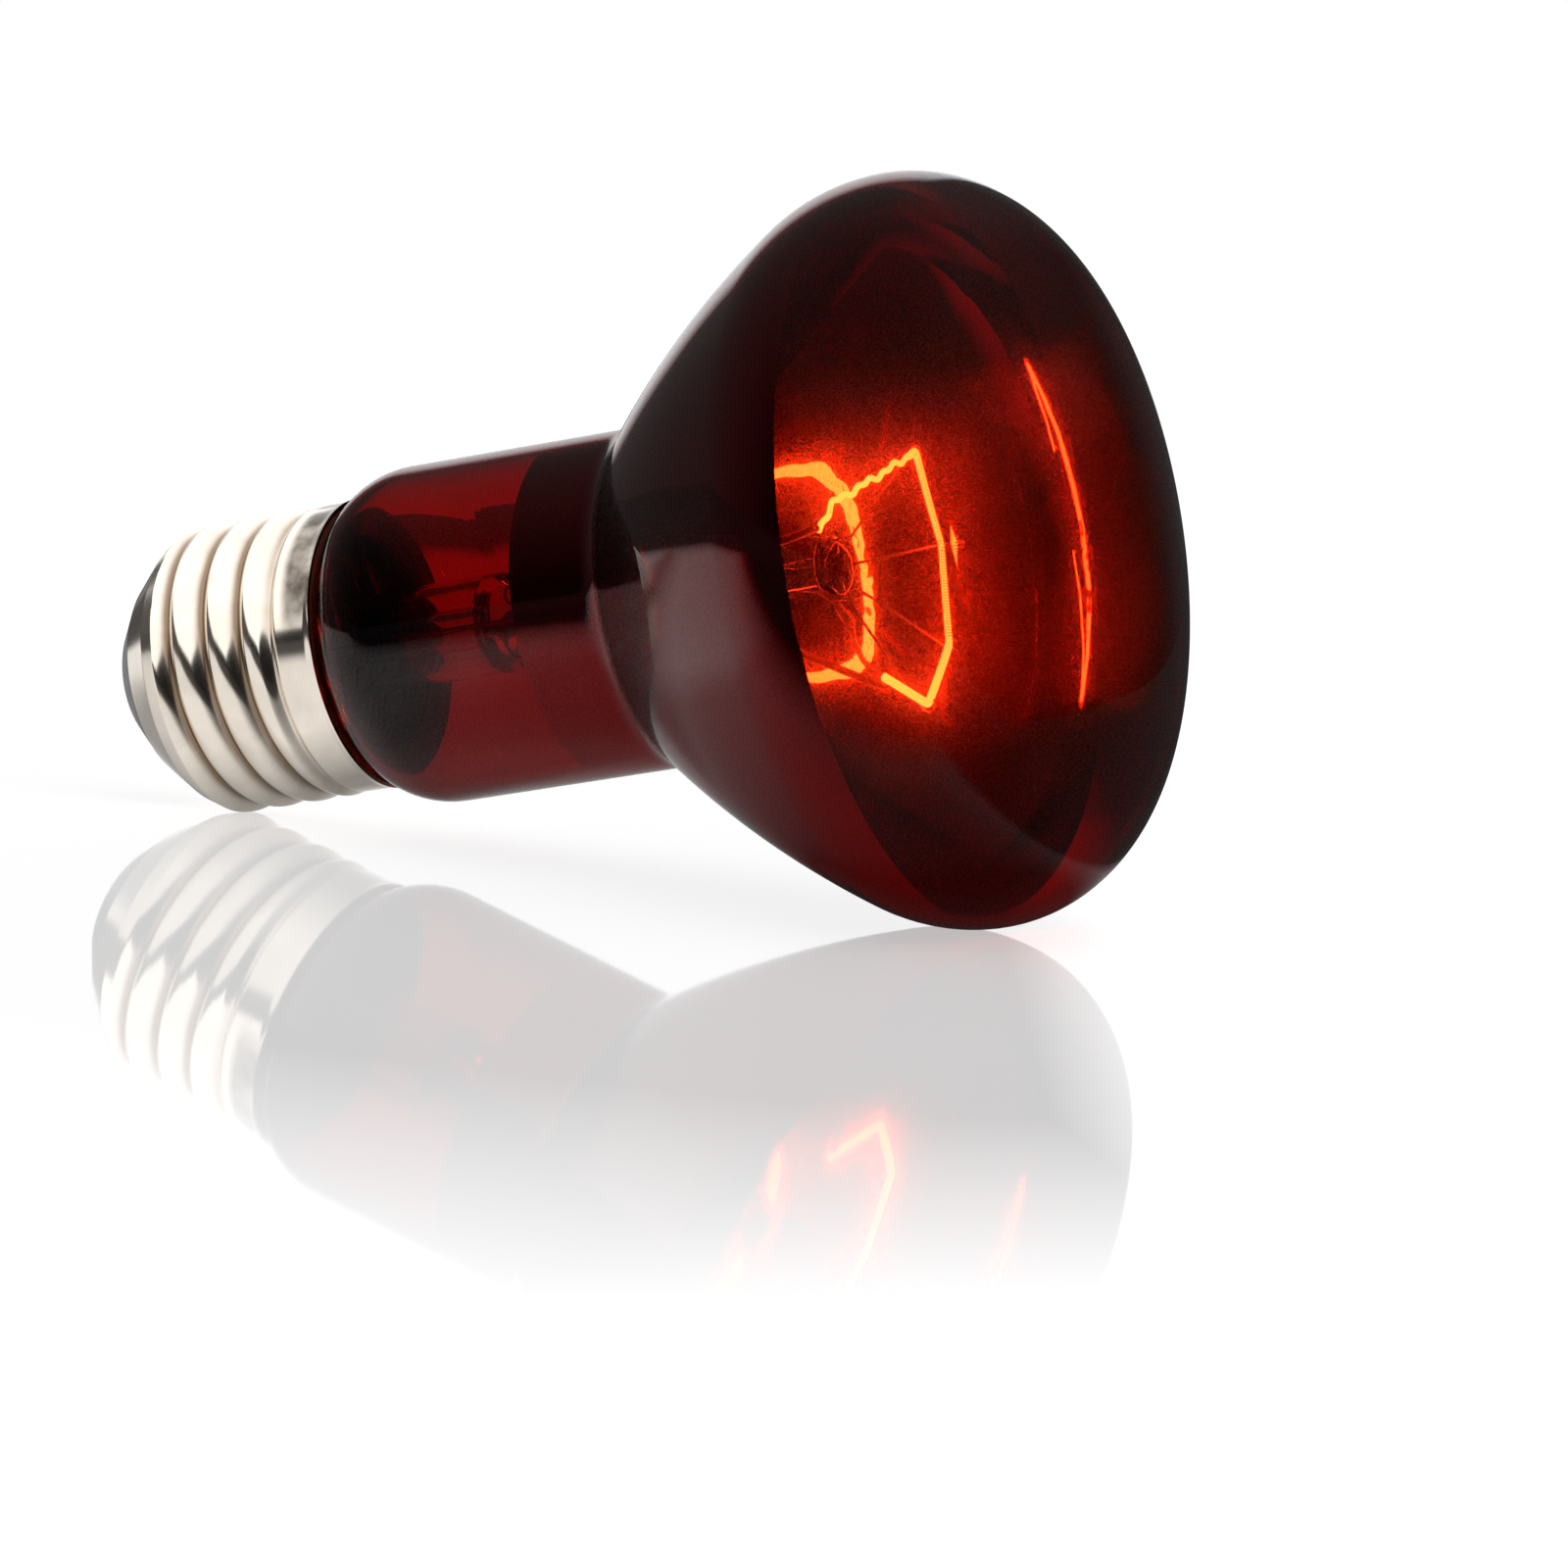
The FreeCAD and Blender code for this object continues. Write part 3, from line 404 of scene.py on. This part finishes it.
stem_press = skin("stem_press", squeezed(stem_sections()), ["glass_stem"])
BUTTON_MIDDLE = 70.2
BUTTON_HALF = 1.2
BUTTON_RADIUS = 2.9
ARBOR_RADIUS = 1.4
button_edge = (BUTTON_RADIUS - BUTTON_HALF, BUTTON_MIDDLE)
arbor_profile = joined(
    straight((0.0, PRESS_END), (ARBOR_RADIUS, PRESS_END), 4),
    straight((ARBOR_RADIUS, PRESS_END), (ARBOR_RADIUS, BUTTON_MIDDLE - BUTTON_HALF), 24),
    straight((ARBOR_RADIUS, BUTTON_MIDDLE - BUTTON_HALF), (button_edge[0], BUTTON_MIDDLE - BUTTON_HALF), 3),
    arc(button_edge, BUTTON_HALF, -math.pi / 2, math.pi / 2, 0.2),
    straight((button_edge[0], BUTTON_MIDDLE + BUTTON_HALF), (0.0, BUTTON_MIDDLE + BUTTON_HALF), 5),
)
arbor_rod = skin("arbor_rod", lathe(arbor_profile, 64), ["glass_arbor"])

# %% [markdown]
# ## The lit coil
# The filament is a tungsten wire wound into a tight coil, and the coil is hung over the hooks like a
# washing line, with one slack run back to its far lead. The line is drawn first, its corners softened
# by a moving average. A helix is wound on the line, and the wire's own thin section is carried along
# the helix. The wire is drawn coarser than the real one, which would be too fine to show.

# %% Coiled filament
RING_RADIUS = 13.3
RING_HEIGHT = 76.0
HOOK_ANGLES = np.radians([16.0, 56.0, 96.0, 136.0])
COIL_RADIUS = 0.31
COIL_PITCH = 0.27
WIRE_RADIUS = 0.085
LINE_STEP = 0.02
CORNER_SPREAD = 0.5
NEAR_END = (11.4, math.radians(-26.0))
FAR_END = (14.5, math.radians(-100.0))
SLACK_PLACE = 0.16
SLACK_SAG = 1.3
SLACK_THINNER = 0.35
SWAY = 0.28
SWAY_LENGTHS = (4.1, 11.0)
SLACK_FADE = (0.6, 3.0)
WIRE_SIDES = 6


def on_ring(radius, angle):
    """Point in the plane of the ring at a radius and an angle about the axis."""
    return np.array([radius * math.cos(angle), radius * math.sin(angle)])


def coil_line():
    """Dense line of the coil in the plane of the ring: straight runs between the hooks, sampled at an
    even step and then averaged over a short window, so that the corners bend."""
    near_end = on_ring(*NEAR_END)
    far_end = on_ring(*FAR_END)
    hooks = [on_ring(RING_RADIUS, angle) for angle in HOOK_ANGLES]
    slack = far_end + (hooks[-1] - far_end) * SLACK_PLACE - np.array([SLACK_SAG, 0.0])
    corners = np.array([near_end] + hooks + [slack, far_end])
    length = np.concatenate([[0.0], np.cumsum(np.linalg.norm(np.diff(corners, axis=0), axis=1))])
    place = np.arange(0.0, length[-1], LINE_STEP)
    line = np.stack([np.interp(place, length, corners[:, k]) for k in range(2)], axis=-1)
    window = int(CORNER_SPREAD / LINE_STEP) * 2 + 1
    padded = np.pad(line, ((window // 2, window // 2), (0, 0)), mode="edge")
    weights = np.ones(window) / window
    smooth = np.stack([np.convolve(padded[:, k], weights, "valid") for k in range(2)], axis=-1)
    slack_share = fade(place - length[len(hooks)], *SLACK_FADE)
    return smooth, place, slack_share


def wound_wire():
    """Grid of the wire: centre line + coil radius (cos w, sin w) in the plane across the line, and the
    wire's section round that helix. In the slack run the coil is pulled thinner and sways a little."""
    line, place, slack_share = coil_line()
    direction = np.gradient(line, axis=0)
    direction /= np.linalg.norm(direction, axis=1, keepdims=True)
    side = np.stack([-direction[:, 1], direction[:, 0], 0.0 * place], axis=-1)
    lift = np.broadcast_to([0.0, 0.0, 1.0], side.shape)
    swing = [np.sin(place * 2.0 * np.pi / length) for length in SWAY_LENGTHS]
    sway = SWAY * slack_share * swing[0] * swing[1]
    middle = np.column_stack([line, np.full(len(place), RING_HEIGHT)]) + side * sway[:, None]
    radius = (COIL_RADIUS * (1.0 - SLACK_THINNER * slack_share))[:, None]
    wind = (2.0 * np.pi * place / COIL_PITCH)[:, None]
    spoke = side * np.cos(wind) + lift * np.sin(wind)
    helix = middle + radius * spoke
    heading = np.gradient(helix, axis=0)
    heading /= np.linalg.norm(heading, axis=1, keepdims=True)
    across = np.cross(heading, spoke)
    round_turn = np.linspace(0.0, 2.0 * np.pi, WIRE_SIDES, endpoint=False)[None, :, None]
    wire = WIRE_RADIUS * (spoke[:, None] * np.cos(round_turn) + across[:, None] * np.sin(round_turn))
    tube = helix[:, None] + wire
    ends = [np.repeat(helix[k][None, None], WIRE_SIDES, axis=1) for k in (0, -1)]
    return np.vstack([ends[0], tube, ends[1]])


lit_coil = skin("lit_coil", wound_wire(), ["filament"])

# %% [markdown]
# ## Nodes and colours
# A material is a small graph. One helper adds a node, sets its properties and either sets or links
# each of its inputs, and short helpers on top of it add the nodes that come up most. Colours are picked
# as sRGB hex values, as on a screen, and turned to the linear values that light adds up in.

# %% Material helpers


def linear(code):
    """Linear RGBA of an sRGB hex colour: below 0.04045 divide by 12.92, else ((c + 0.055) / 1.055)^2.4."""
    parts = np.array([int(code[k:k + 2], 16) for k in (1, 3, 5)]) / 255.0
    light = np.where(parts <= 0.04045, parts / 12.92, ((parts + 0.055) / 1.055) ** 2.4)
    return (*light.tolist(), 1.0)


def add(tree, kind, inputs=None, **settings):
    """Adds one shader node with its settings, and sets or links each input that is given."""
    node = tree.nodes.new("ShaderNode" + kind)
    for name, value in settings.items():
        setattr(node, name, value)
    for socket, value in (inputs or {}).items():
        if isinstance(value, bpy.types.NodeSocket):
            tree.links.new(value, node.inputs[socket])
        else:
            node.inputs[socket].default_value = value
    return node


def noise(tree, size, detail):
    """Noise whose grain has the given size in metres and stays with the piece."""
    place = add(tree, "TexCoord").outputs["Object"]
    return add(tree, "TexNoise", {"Vector": place, "Scale": 1.0 / size, "Detail": detail}).outputs["Fac"]


def ramp(tree, value, start, end, low, high):
    """Level that runs from low at start to high at end, and is flat on both sides."""
    return add(tree, "MapRange", {"Value": value, 1: start, 2: end, 3: low, 4: high}).outputs[0]


def combine(tree, operation, first, *others):
    """One value from several, taken in turn with the same operation."""
    for other in others:
        first = add(tree, "Math", {0: first, 1: other}, operation=operation).outputs[0]
    return first


def blend(tree, share, first, second):
    """Colour between two others."""
    return add(tree, "Mix", {0: share, 6: first, 7: second}, data_type="RGBA").outputs[2]


def bumps(tree, height, strength, depth):
    """Normal of a surface with bumps of a depth in metres."""
    return add(tree, "Bump", {"Height": height, "Strength": strength, "Distance": depth}).outputs[0]


def along(tree, place, direction):
    """How far a place, or a line of sight, goes along a direction."""
    return add(tree, "VectorMath", {0: place, 1: direction}, operation="DOT_PRODUCT").outputs["Value"]


def blank(name):
    """New material with an empty graph, and its graph."""
    material = bpy.data.materials.new(name)
    material.use_nodes = True
    material.node_tree.nodes.clear()
    return material, material.node_tree


def dress(material, *pieces):
    """Puts one material on every slot of the pieces, CAD nodes or new ones."""
    for piece in pieces:
        piece.data.materials.clear()
        piece.data.materials.append(material)
    print(material.name, "on", len(pieces))


# %% [markdown]
# ## Ruby glass
# The red comes from the body of the glass, not from a coat, so the colour deepens with the length of
# the path through the wall. Absorption inside the wall does exactly that. The surface is fire polished,
# with the slow waves of blown glass, which make the highlights swim a little, and a trace of haze. Fine
# specks of dust scatter some of the coil's light, so a soft halo stands round the coil.

# %% Ruby glass
WAVE_SIZE = 0.016
HAZE_SIZE = 0.006
SPECK_SIZE = 0.00004
RUBY_COLOR = (0.815, 0.03, 0.06, 1.0)
RUBY_DENSITY = 4000.0
ruby, tree = blank("ruby_glass_blown")
swim = bumps(tree, noise(tree, WAVE_SIZE, 1.0), 0.25, 0.0004)
haze = ramp(tree, noise(tree, HAZE_SIZE, 4.0), 0.45, 0.8, 0.0, 0.035)
specks = ramp(tree, noise(tree, SPECK_SIZE, 0.0), 0.66, 0.70, 0.0, 0.34)
ruby_body = add(tree, "BsdfPrincipled", {
    "Base Color": linear("#ffffff"), "Transmission Weight": 1.0, "IOR": 1.52, "Normal": swim,
    "Specular Tint": (0.45, 0.45, 0.45, 1.0), "Roughness": combine(tree, "MAXIMUM", haze, specks),
})
# One wall of 0.9 mm lets about half of the red through, and only a few hundredths of the rest.
ruby_depth = add(tree, "VolumeAbsorption", {"Color": RUBY_COLOR, "Density": RUBY_DENSITY})
add(tree, "OutputMaterial", {"Surface": ruby_body.outputs[0], "Volume": ruby_depth.outputs[0]})
dress(ruby, ruby_bulb)

# %% [markdown]
# ## Mirror aluminium
# The film takes on the waves of the blown glass under it, so what it shows of the filament is broken
# into streaks. A slow bump of a few millimetres does the same. Grains of duller bloom, far too fine to
# see one by one, spread the glow round each streak.

# %% Mirror film
STREAK_SIZE = 0.007
BLOOM_SIZE = 0.00004
mirror, tree = blank("aluminium_vapour_film")
film = add(tree, "BsdfPrincipled", {
    "Base Color": linear("#e6e4e2"), "Metallic": 1.0,
    "Roughness": ramp(tree, noise(tree, BLOOM_SIZE, 0.0), 0.64, 0.75, 0.015, 0.22),
    "Normal": bumps(tree, noise(tree, STREAK_SIZE, 2.0), 0.09, 0.0004),
})
add(tree, "OutputMaterial", {"Surface": film.outputs[0]})
dress(mirror, mirror_coat)

# %% [markdown]
# ## Nickel plate
# The cap is brass sheet with bright nickel on it. The plate is polished on the crests and duller down in
# the roots, and there its colour is painted browner and darker, as painted shade in the hollows of the
# thread. Random stains darken it here and there as well.
# The grid already knows how deep each point lies, so the finish reads that value. One side of the skirt is
# painted a mottled grey, a painted shade that stands in for the dark bulb reflected there, and the grid
# marks that place too.

# %% Nickel plate
STAIN_SIZE = 0.004
SKIRT_SHADE_MOTTLE_SIZE = 0.003
nickel, tree = blank("nickel_plate_rolled")
# Painted shade: the plate turns browner and darker with the depth in the roots, and random stains add to
# it.
root_depth = add(tree, "Attribute", attribute_name="root_depth").outputs["Fac"]
stain = ramp(tree, noise(tree, STAIN_SIZE, 5.0), 0.35, 0.75, 0.0, 0.2)
root_shade_and_stain = add(tree, "Math", {0: root_depth, 1: stain}, operation="ADD", use_clamp=True).outputs[0]
plate_color = blend(tree, root_shade_and_stain, linear("#f4eadd"), linear("#8f7a66"))
# Painted shade: a mottled grey patch on one side of the skirt, standing in for the dark bulb reflected
# there.
painted_skirt_shade_mark = add(tree, "Attribute", attribute_name="painted_skirt_shade").outputs["Fac"]
skirt_shade_mottle = ramp(tree, noise(tree, SKIRT_SHADE_MOTTLE_SIZE, 3.0), 0.3, 0.65, 0.5, 1.0)
painted_skirt_shade = combine(tree, "MULTIPLY", painted_skirt_shade_mark, skirt_shade_mottle)
plate = add(tree, "BsdfPrincipled", {
    "Base Color": blend(tree, painted_skirt_shade, plate_color, linear("#4a4038")), "Metallic": 1.0,
    "Roughness": ramp(tree, root_shade_and_stain, 0.0, 1.0, 0.13, 0.28),
})
add(tree, "OutputMaterial", {"Surface": plate.outputs[0]})
dress(nickel, screw_shell)

# %% [markdown]
# ## Small parts
# The remaining finishes are each a real material with its own grain: pressed black glass with a faint
# orange-peel, stamped brass, dull grey solder, sandy cement and drawn wires. They share one shape of
# graph: a noise at the grain's real size moves the colour, the gloss and a bump.

# %% Grained finishes
GRAINED = {
    "black_glass_pressed": ("#0b0a0a", "#171414", 0.30, 0.45, 0.0, 0.0015, 0.00002),
    "brass_stamped": ("#c9a561", "#9a7840", 0.22, 0.40, 1.0, 0.0012, 0.00002),
    "tin_solder": ("#b9b8b4", "#8d8b87", 0.25, 0.45, 1.0, 0.0018, 0.00008),
    "cement_baked": ("#a8977f", "#8a7a64", 0.85, 0.95, 0.0, 0.0006, 0.00012),
    "molybdenum_drawn": ("#8f8a84", "#6f6a66", 0.25, 0.40, 1.0, 0.0008, 0.000005),
    "nickel_drawn": ("#b9afa3", "#938a80", 0.25, 0.40, 1.0, 0.0010, 0.000005),
    "copper_drawn": ("#c98a62", "#8f5a3c", 0.25, 0.42, 1.0, 0.0010, 0.000005),
}
GRAIN_STRENGTH = 0.6


def grained(name, light, dark, gloss, dull, metal, grain, relief):
    """Material whose noise, at the size of the grain, blends two colours and two gloss levels and
    raises a bump of the given relief in metres."""
    material, graph = blank(name)
    grit = noise(graph, grain, 4.0)
    body = add(graph, "BsdfPrincipled", {
        "Base Color": blend(graph, grit, linear(light), linear(dark)), "Metallic": metal,
        "Roughness": ramp(graph, grit, 0.0, 1.0, gloss, dull),
        "Normal": bumps(graph, grit, GRAIN_STRENGTH, relief),
    })
    add(graph, "OutputMaterial", {"Surface": body.outputs[0]})
    return material


finish = {name: grained(name, *values) for name, values in GRAINED.items()}
nodes = frame["nodes"]
dress(finish["black_glass_pressed"], insulator_ring)
dress(finish["brass_stamped"], nodes["centre_contact"])
dress(finish["tin_solder"], nodes["centre_solder"], nodes["side_solder"])
dress(finish["cement_baked"], nodes["basing_cement"])
dress(finish["molybdenum_drawn"], *[nodes[f"support_wire_{k}"] for k in range(1, 5)])
dress(finish["nickel_drawn"], nodes["lead_wire_near"], nodes["lead_wire_far"])
dress(finish["copper_drawn"], nodes["tail_wire_centre"], nodes["tail_wire_side"])

# %% [markdown]
# ## Clear glass and glowing tungsten
# The mount is clear lead glass with the ripples of flame work. The coil glows: hot tungsten gives far
# more red than green and hardly any blue, and the ruby wall filters it once more on the way out.

# %% Clear glass and lit tungsten
FLAME_RIPPLE = 0.003
clear, tree = blank("lead_glass_clear")
clear_body = add(tree, "BsdfPrincipled", {
    "Base Color": linear("#f4f6f4"), "Transmission Weight": 1.0, "IOR": 1.56, "Roughness": 0.02,
    "Normal": bumps(tree, noise(tree, FLAME_RIPPLE, 1.0), 0.3, 0.0002),
})
add(tree, "OutputMaterial", {"Surface": clear_body.outputs[0]})
dress(clear, stem_press, arbor_rod, nodes["exhaust_tube"])

tungsten, tree = blank("tungsten_glowing")
glow = add(tree, "BsdfPrincipled", {
    "Base Color": linear("#4a4644"), "Metallic": 1.0, "Roughness": 0.45,
    "Emission Color": (1.0, 0.48, 0.05, 1.0), "Emission Strength": 70.0,
})
add(tree, "OutputMaterial", {"Surface": glow.outputs[0]})
dress(tungsten, lit_coil)

# %% [markdown]
# ## Table
# The lamp lies on a polished white table in front of white. To the camera all of that is plain white,
# but glass and metal get their form from dark and light, so the lamp itself sees another room. A white
# sheet lies under it and ends a little in front of it and at its sides, and a dark room begins there. The
# mirrored bowl shows the dark room in its upper half and the sheet in its lower half, and the rim on the
# right has neither sheet nor backdrop behind it, so it stays dark. The sheet is shaded where the lamp
# covers it, whiter beside the cap, and brightest just behind the bowl, where it glows through the rim.
# Only the camera sees the polish, which fades out to the front, to the right and with distance, and
# only the camera sees the white coat with the shadow on it.

# %% Table
TABLE_HALF = 4.0
table_mesh = bpy.data.meshes.new("table")
table_corners = np.array([[-1, -1, 0], [1, -1, 0], [1, 1, 0], [-1, 1, 0]]) * TABLE_HALF
table_mesh.from_pydata(table_corners.tolist(), [], [[0, 1, 2, 3]])
table = bpy.data.objects.new("table", table_mesh)
bpy.context.scene.collection.objects.link(table)
enamel, tree = blank("white_enamel_table")
spot = add(tree, "TexCoord").outputs["Object"]
ray = add(tree, "LightPath").outputs
FRONT = (0.45, -0.893, 0.0)
LEFT = (-0.97, -0.25, 0.0)
RIGHT = (0.9, 0.44, 0.0)
ACROSS = (0.0, 1.0, 0.0)
leftward = along(tree, spot, LEFT)
rightward = along(tree, spot, RIGHT)

# %% [markdown]
# ## What the camera sees of the table
# The polish takes its share of the surface, and where it grows, the fill of white light gives way to it.

# %% Polish and fill for the camera
POLISH = 0.37
FADING = (0.919, -0.395, 0.0)
FRONT_FADE = (0.13, 0.22)
ROUND_FADE = (0.15, 0.3)
RIGHT_FADE = (0.036, 0.052)
POLISHED_FILL = 0.79
away = add(tree, "VectorMath", {0: spot}, operation="LENGTH").outputs["Value"]
shine = combine(
    tree, "MINIMUM",
    ramp(tree, along(tree, spot, FADING), *FRONT_FADE, POLISH, 0.0),
    ramp(tree, away, *ROUND_FADE, POLISH, 0.0),
    ramp(tree, rightward, *RIGHT_FADE, POLISH, 0.0),
)
to_camera = ramp(tree, shine, 0.0, POLISH, 1.0, POLISHED_FILL)

# %% [markdown]
# ## What the lamp sees of the table
# Light that leaves through the glass sees the sheet with its edges and the bright place behind the bowl.
# Light that is thrown back by the lamp's surface sees the shade under the lamp and the white by the cap.

# %% Sheet for the lamp
SHEET = 0.8
BEYOND = 0.04
FRONT_EDGE = (0.035, 0.065)
LEFT_EDGE = (0.15, 0.19)
RIGHT_EDGE = (0.040, 0.055)
CONTACT = (0.035, 0.0, 0.0)
CONTACT_EDGE = (0.015, 0.06)
CONTACT_SHADE = 0.03
UNDER_EDGE = (0.002, 0.014)
UNDER_SHADE = 0.3
CAP_EDGES = (0.015, 0.03)
CAP_WHITE = 1.8
GLOW = (0.02, 0.05, 0.0)
GLOW_EDGE = (0.03, 0.06)
GLOW_WHITE = 2.0
sheet = combine(
    tree, "MINIMUM",
    ramp(tree, along(tree, spot, FRONT), *FRONT_EDGE, SHEET, BEYOND),
    ramp(tree, leftward, *LEFT_EDGE, SHEET, BEYOND),
    ramp(tree, rightward, *RIGHT_EDGE, SHEET, BEYOND),
)
from_contact = add(tree, "VectorMath", {0: spot, 1: CONTACT}, operation="DISTANCE").outputs["Value"]
from_axis = add(tree, "Math", {0: along(tree, spot, ACROSS)}, operation="ABSOLUTE").outputs[0]
shaded = combine(
    tree, "MINIMUM", sheet,
    ramp(tree, from_contact, *CONTACT_EDGE, CONTACT_SHADE, SHEET),
    ramp(tree, from_axis, *UNDER_EDGE, UNDER_SHADE, SHEET),
)
thrown_back = combine(tree, "MULTIPLY", shaded, ramp(tree, leftward, *CAP_EDGES, 1.0, CAP_WHITE))
from_glow = add(tree, "VectorMath", {0: spot, 1: GLOW}, operation="DISTANCE").outputs["Value"]
through = combine(tree, "MULTIPLY", sheet, ramp(tree, from_glow, *GLOW_EDGE, GLOW_WHITE, 1.0))
to_lamp = add(tree, "Mix", {0: ray["Is Transmission Ray"], 2: thrown_back, 3: through}).outputs[0]
by_lamp = combine(tree, "MAXIMUM", ray["Is Glossy Ray"], ray["Is Transmission Ray"])
shown = combine(tree, "MULTIPLY", by_lamp, to_lamp)

# %% Enamel of the table
white = add(tree, "BsdfPrincipled", {
    "Base Color": blend(tree, ray["Is Camera Ray"], linear("#1e1b1a"), linear("#f6f6f6")),
    "Roughness": 0.6, "Specular IOR Level": 0.0, "Emission Color": linear("#ffffff"),
    "Emission Strength": add(tree, "Mix", {0: ray["Is Camera Ray"], 2: shown, 3: to_camera}).outputs[0],
})
polish = add(tree, "BsdfGlossy", {"Color": ray["Is Camera Ray"], "Roughness": 0.03})
surface = add(tree, "MixShader", {0: shine, 1: white.outputs[0], 2: polish.outputs[0]})
add(tree, "OutputMaterial", {"Surface": surface.outputs[0]})
dress(enamel, table)

# %% [markdown]
# ## Room
# The room is dark but for a white backdrop behind the lamp, a dim ceiling and a dim wall on the left.
# Each patch has its direction, the cosines at which it starts and is full, its level, and the share of
# that level which is left on the right, where the backdrop ends. Seen through glass it ends sooner.

# %% Room
PATCHES = {
    "backdrop": ((-0.445, 0.885, 0.14), 0.925, 0.97, 1.0, 0.0),
    "ceiling": ((0.0, 0.1, 0.99), 0.3, 0.7, 0.09, 1.0),
    "room": ((-0.9, 0.35, 0.25), 0.2, 0.8, 0.08, 1.0),
}
SCREEN_START = 0.06
SCREEN_END = 0.1
world = bpy.data.worlds.new("studio")
bpy.context.scene.world = world
world.use_nodes = True
tree = world.node_tree
tree.nodes.clear()
look = add(tree, "TexCoord").outputs["Generated"]
ray = add(tree, "LightPath").outputs
sooner = combine(tree, "MULTIPLY", ray["Is Transmission Ray"], SCREEN_START)
aside = combine(tree, "ADD", sooner, along(tree, look, RIGHT))
level = ray["Is Camera Ray"]
for middle, edge, full, peak, right_share in PATCHES.values():
    screen = ramp(tree, aside, SCREEN_START, SCREEN_END, peak, peak * right_share)
    patch = ramp(tree, along(tree, look, middle), edge, full, 0.0, screen)
    level = combine(tree, "MAXIMUM", level, patch)
shade = blend(tree, level, linear("#1e1b1a"), linear("#ffffff"))
sky = add(tree, "Background", {"Color": shade, "Strength": 1.0})
add(tree, "OutputWorld", {"Surface": sky.outputs[0]})

# %% [markdown]
# ## Lamps
# A wide softbox overhead lights everything gently. A white card over the cap shines for the cap alone,
# so the nickel shows white above and the sheet below, with a dark gap between them.

# %% Lamps
LAMPS = {
    "softbox": ((-0.1, 0.1, 0.8), (1.5, 1.2), 1.6),
    "cap_panel": ((-0.3175, -0.24, 0.15), (0.955, 1.12), 4.5),
}
lamps = {}
for name, (middle, size, power) in LAMPS.items():
    light = bpy.data.lights.new(name, "AREA")
    light.shape = "RECTANGLE"
    light.size, light.size_y = size
    light.energy = power
    lamps[name] = bpy.data.objects.new(name, light)
    lamps[name].location = middle
    lamps[name].visible_camera = False
    lamps[name].visible_transmission = False
    lamps[name].visible_glossy = name == "cap_panel"
    bpy.context.scene.collection.objects.link(lamps[name])
lit_by_panel = bpy.data.collections.new("lit_by_panel")
lit_by_panel.objects.link(screw_shell)
lamps["cap_panel"].light_linking.receiver_collection = lit_by_panel

# %% [markdown]
# ## Camera
# The camera stands low in front of the lamp's face, a little turned about its line of sight. Its place
# and lens were worked out from the outline of the bulb and the circles of its rim and cap.

# %% Camera
FOCAL_PIXELS = 8500.0
FRAME_PIXELS = 1600.0
CAMERA_PLACE = (0.33004, -0.65849, 0.07449)
CAMERA_TURN = (84.9171, -6.4747, 25.9751)
lens = bpy.data.cameras.new("camera")
lens.sensor_width = 36.0
lens.sensor_fit = "HORIZONTAL"
lens.lens = FOCAL_PIXELS / FRAME_PIXELS * lens.sensor_width
lens.clip_start = 0.01
camera = bpy.data.objects.new("camera", lens)
camera.location = CAMERA_PLACE
camera.rotation_euler = [math.radians(turn) for turn in CAMERA_TURN]
bpy.context.scene.collection.objects.link(camera)
bpy.context.scene.camera = camera
bpy.context.scene.view_settings.view_transform = "Standard"
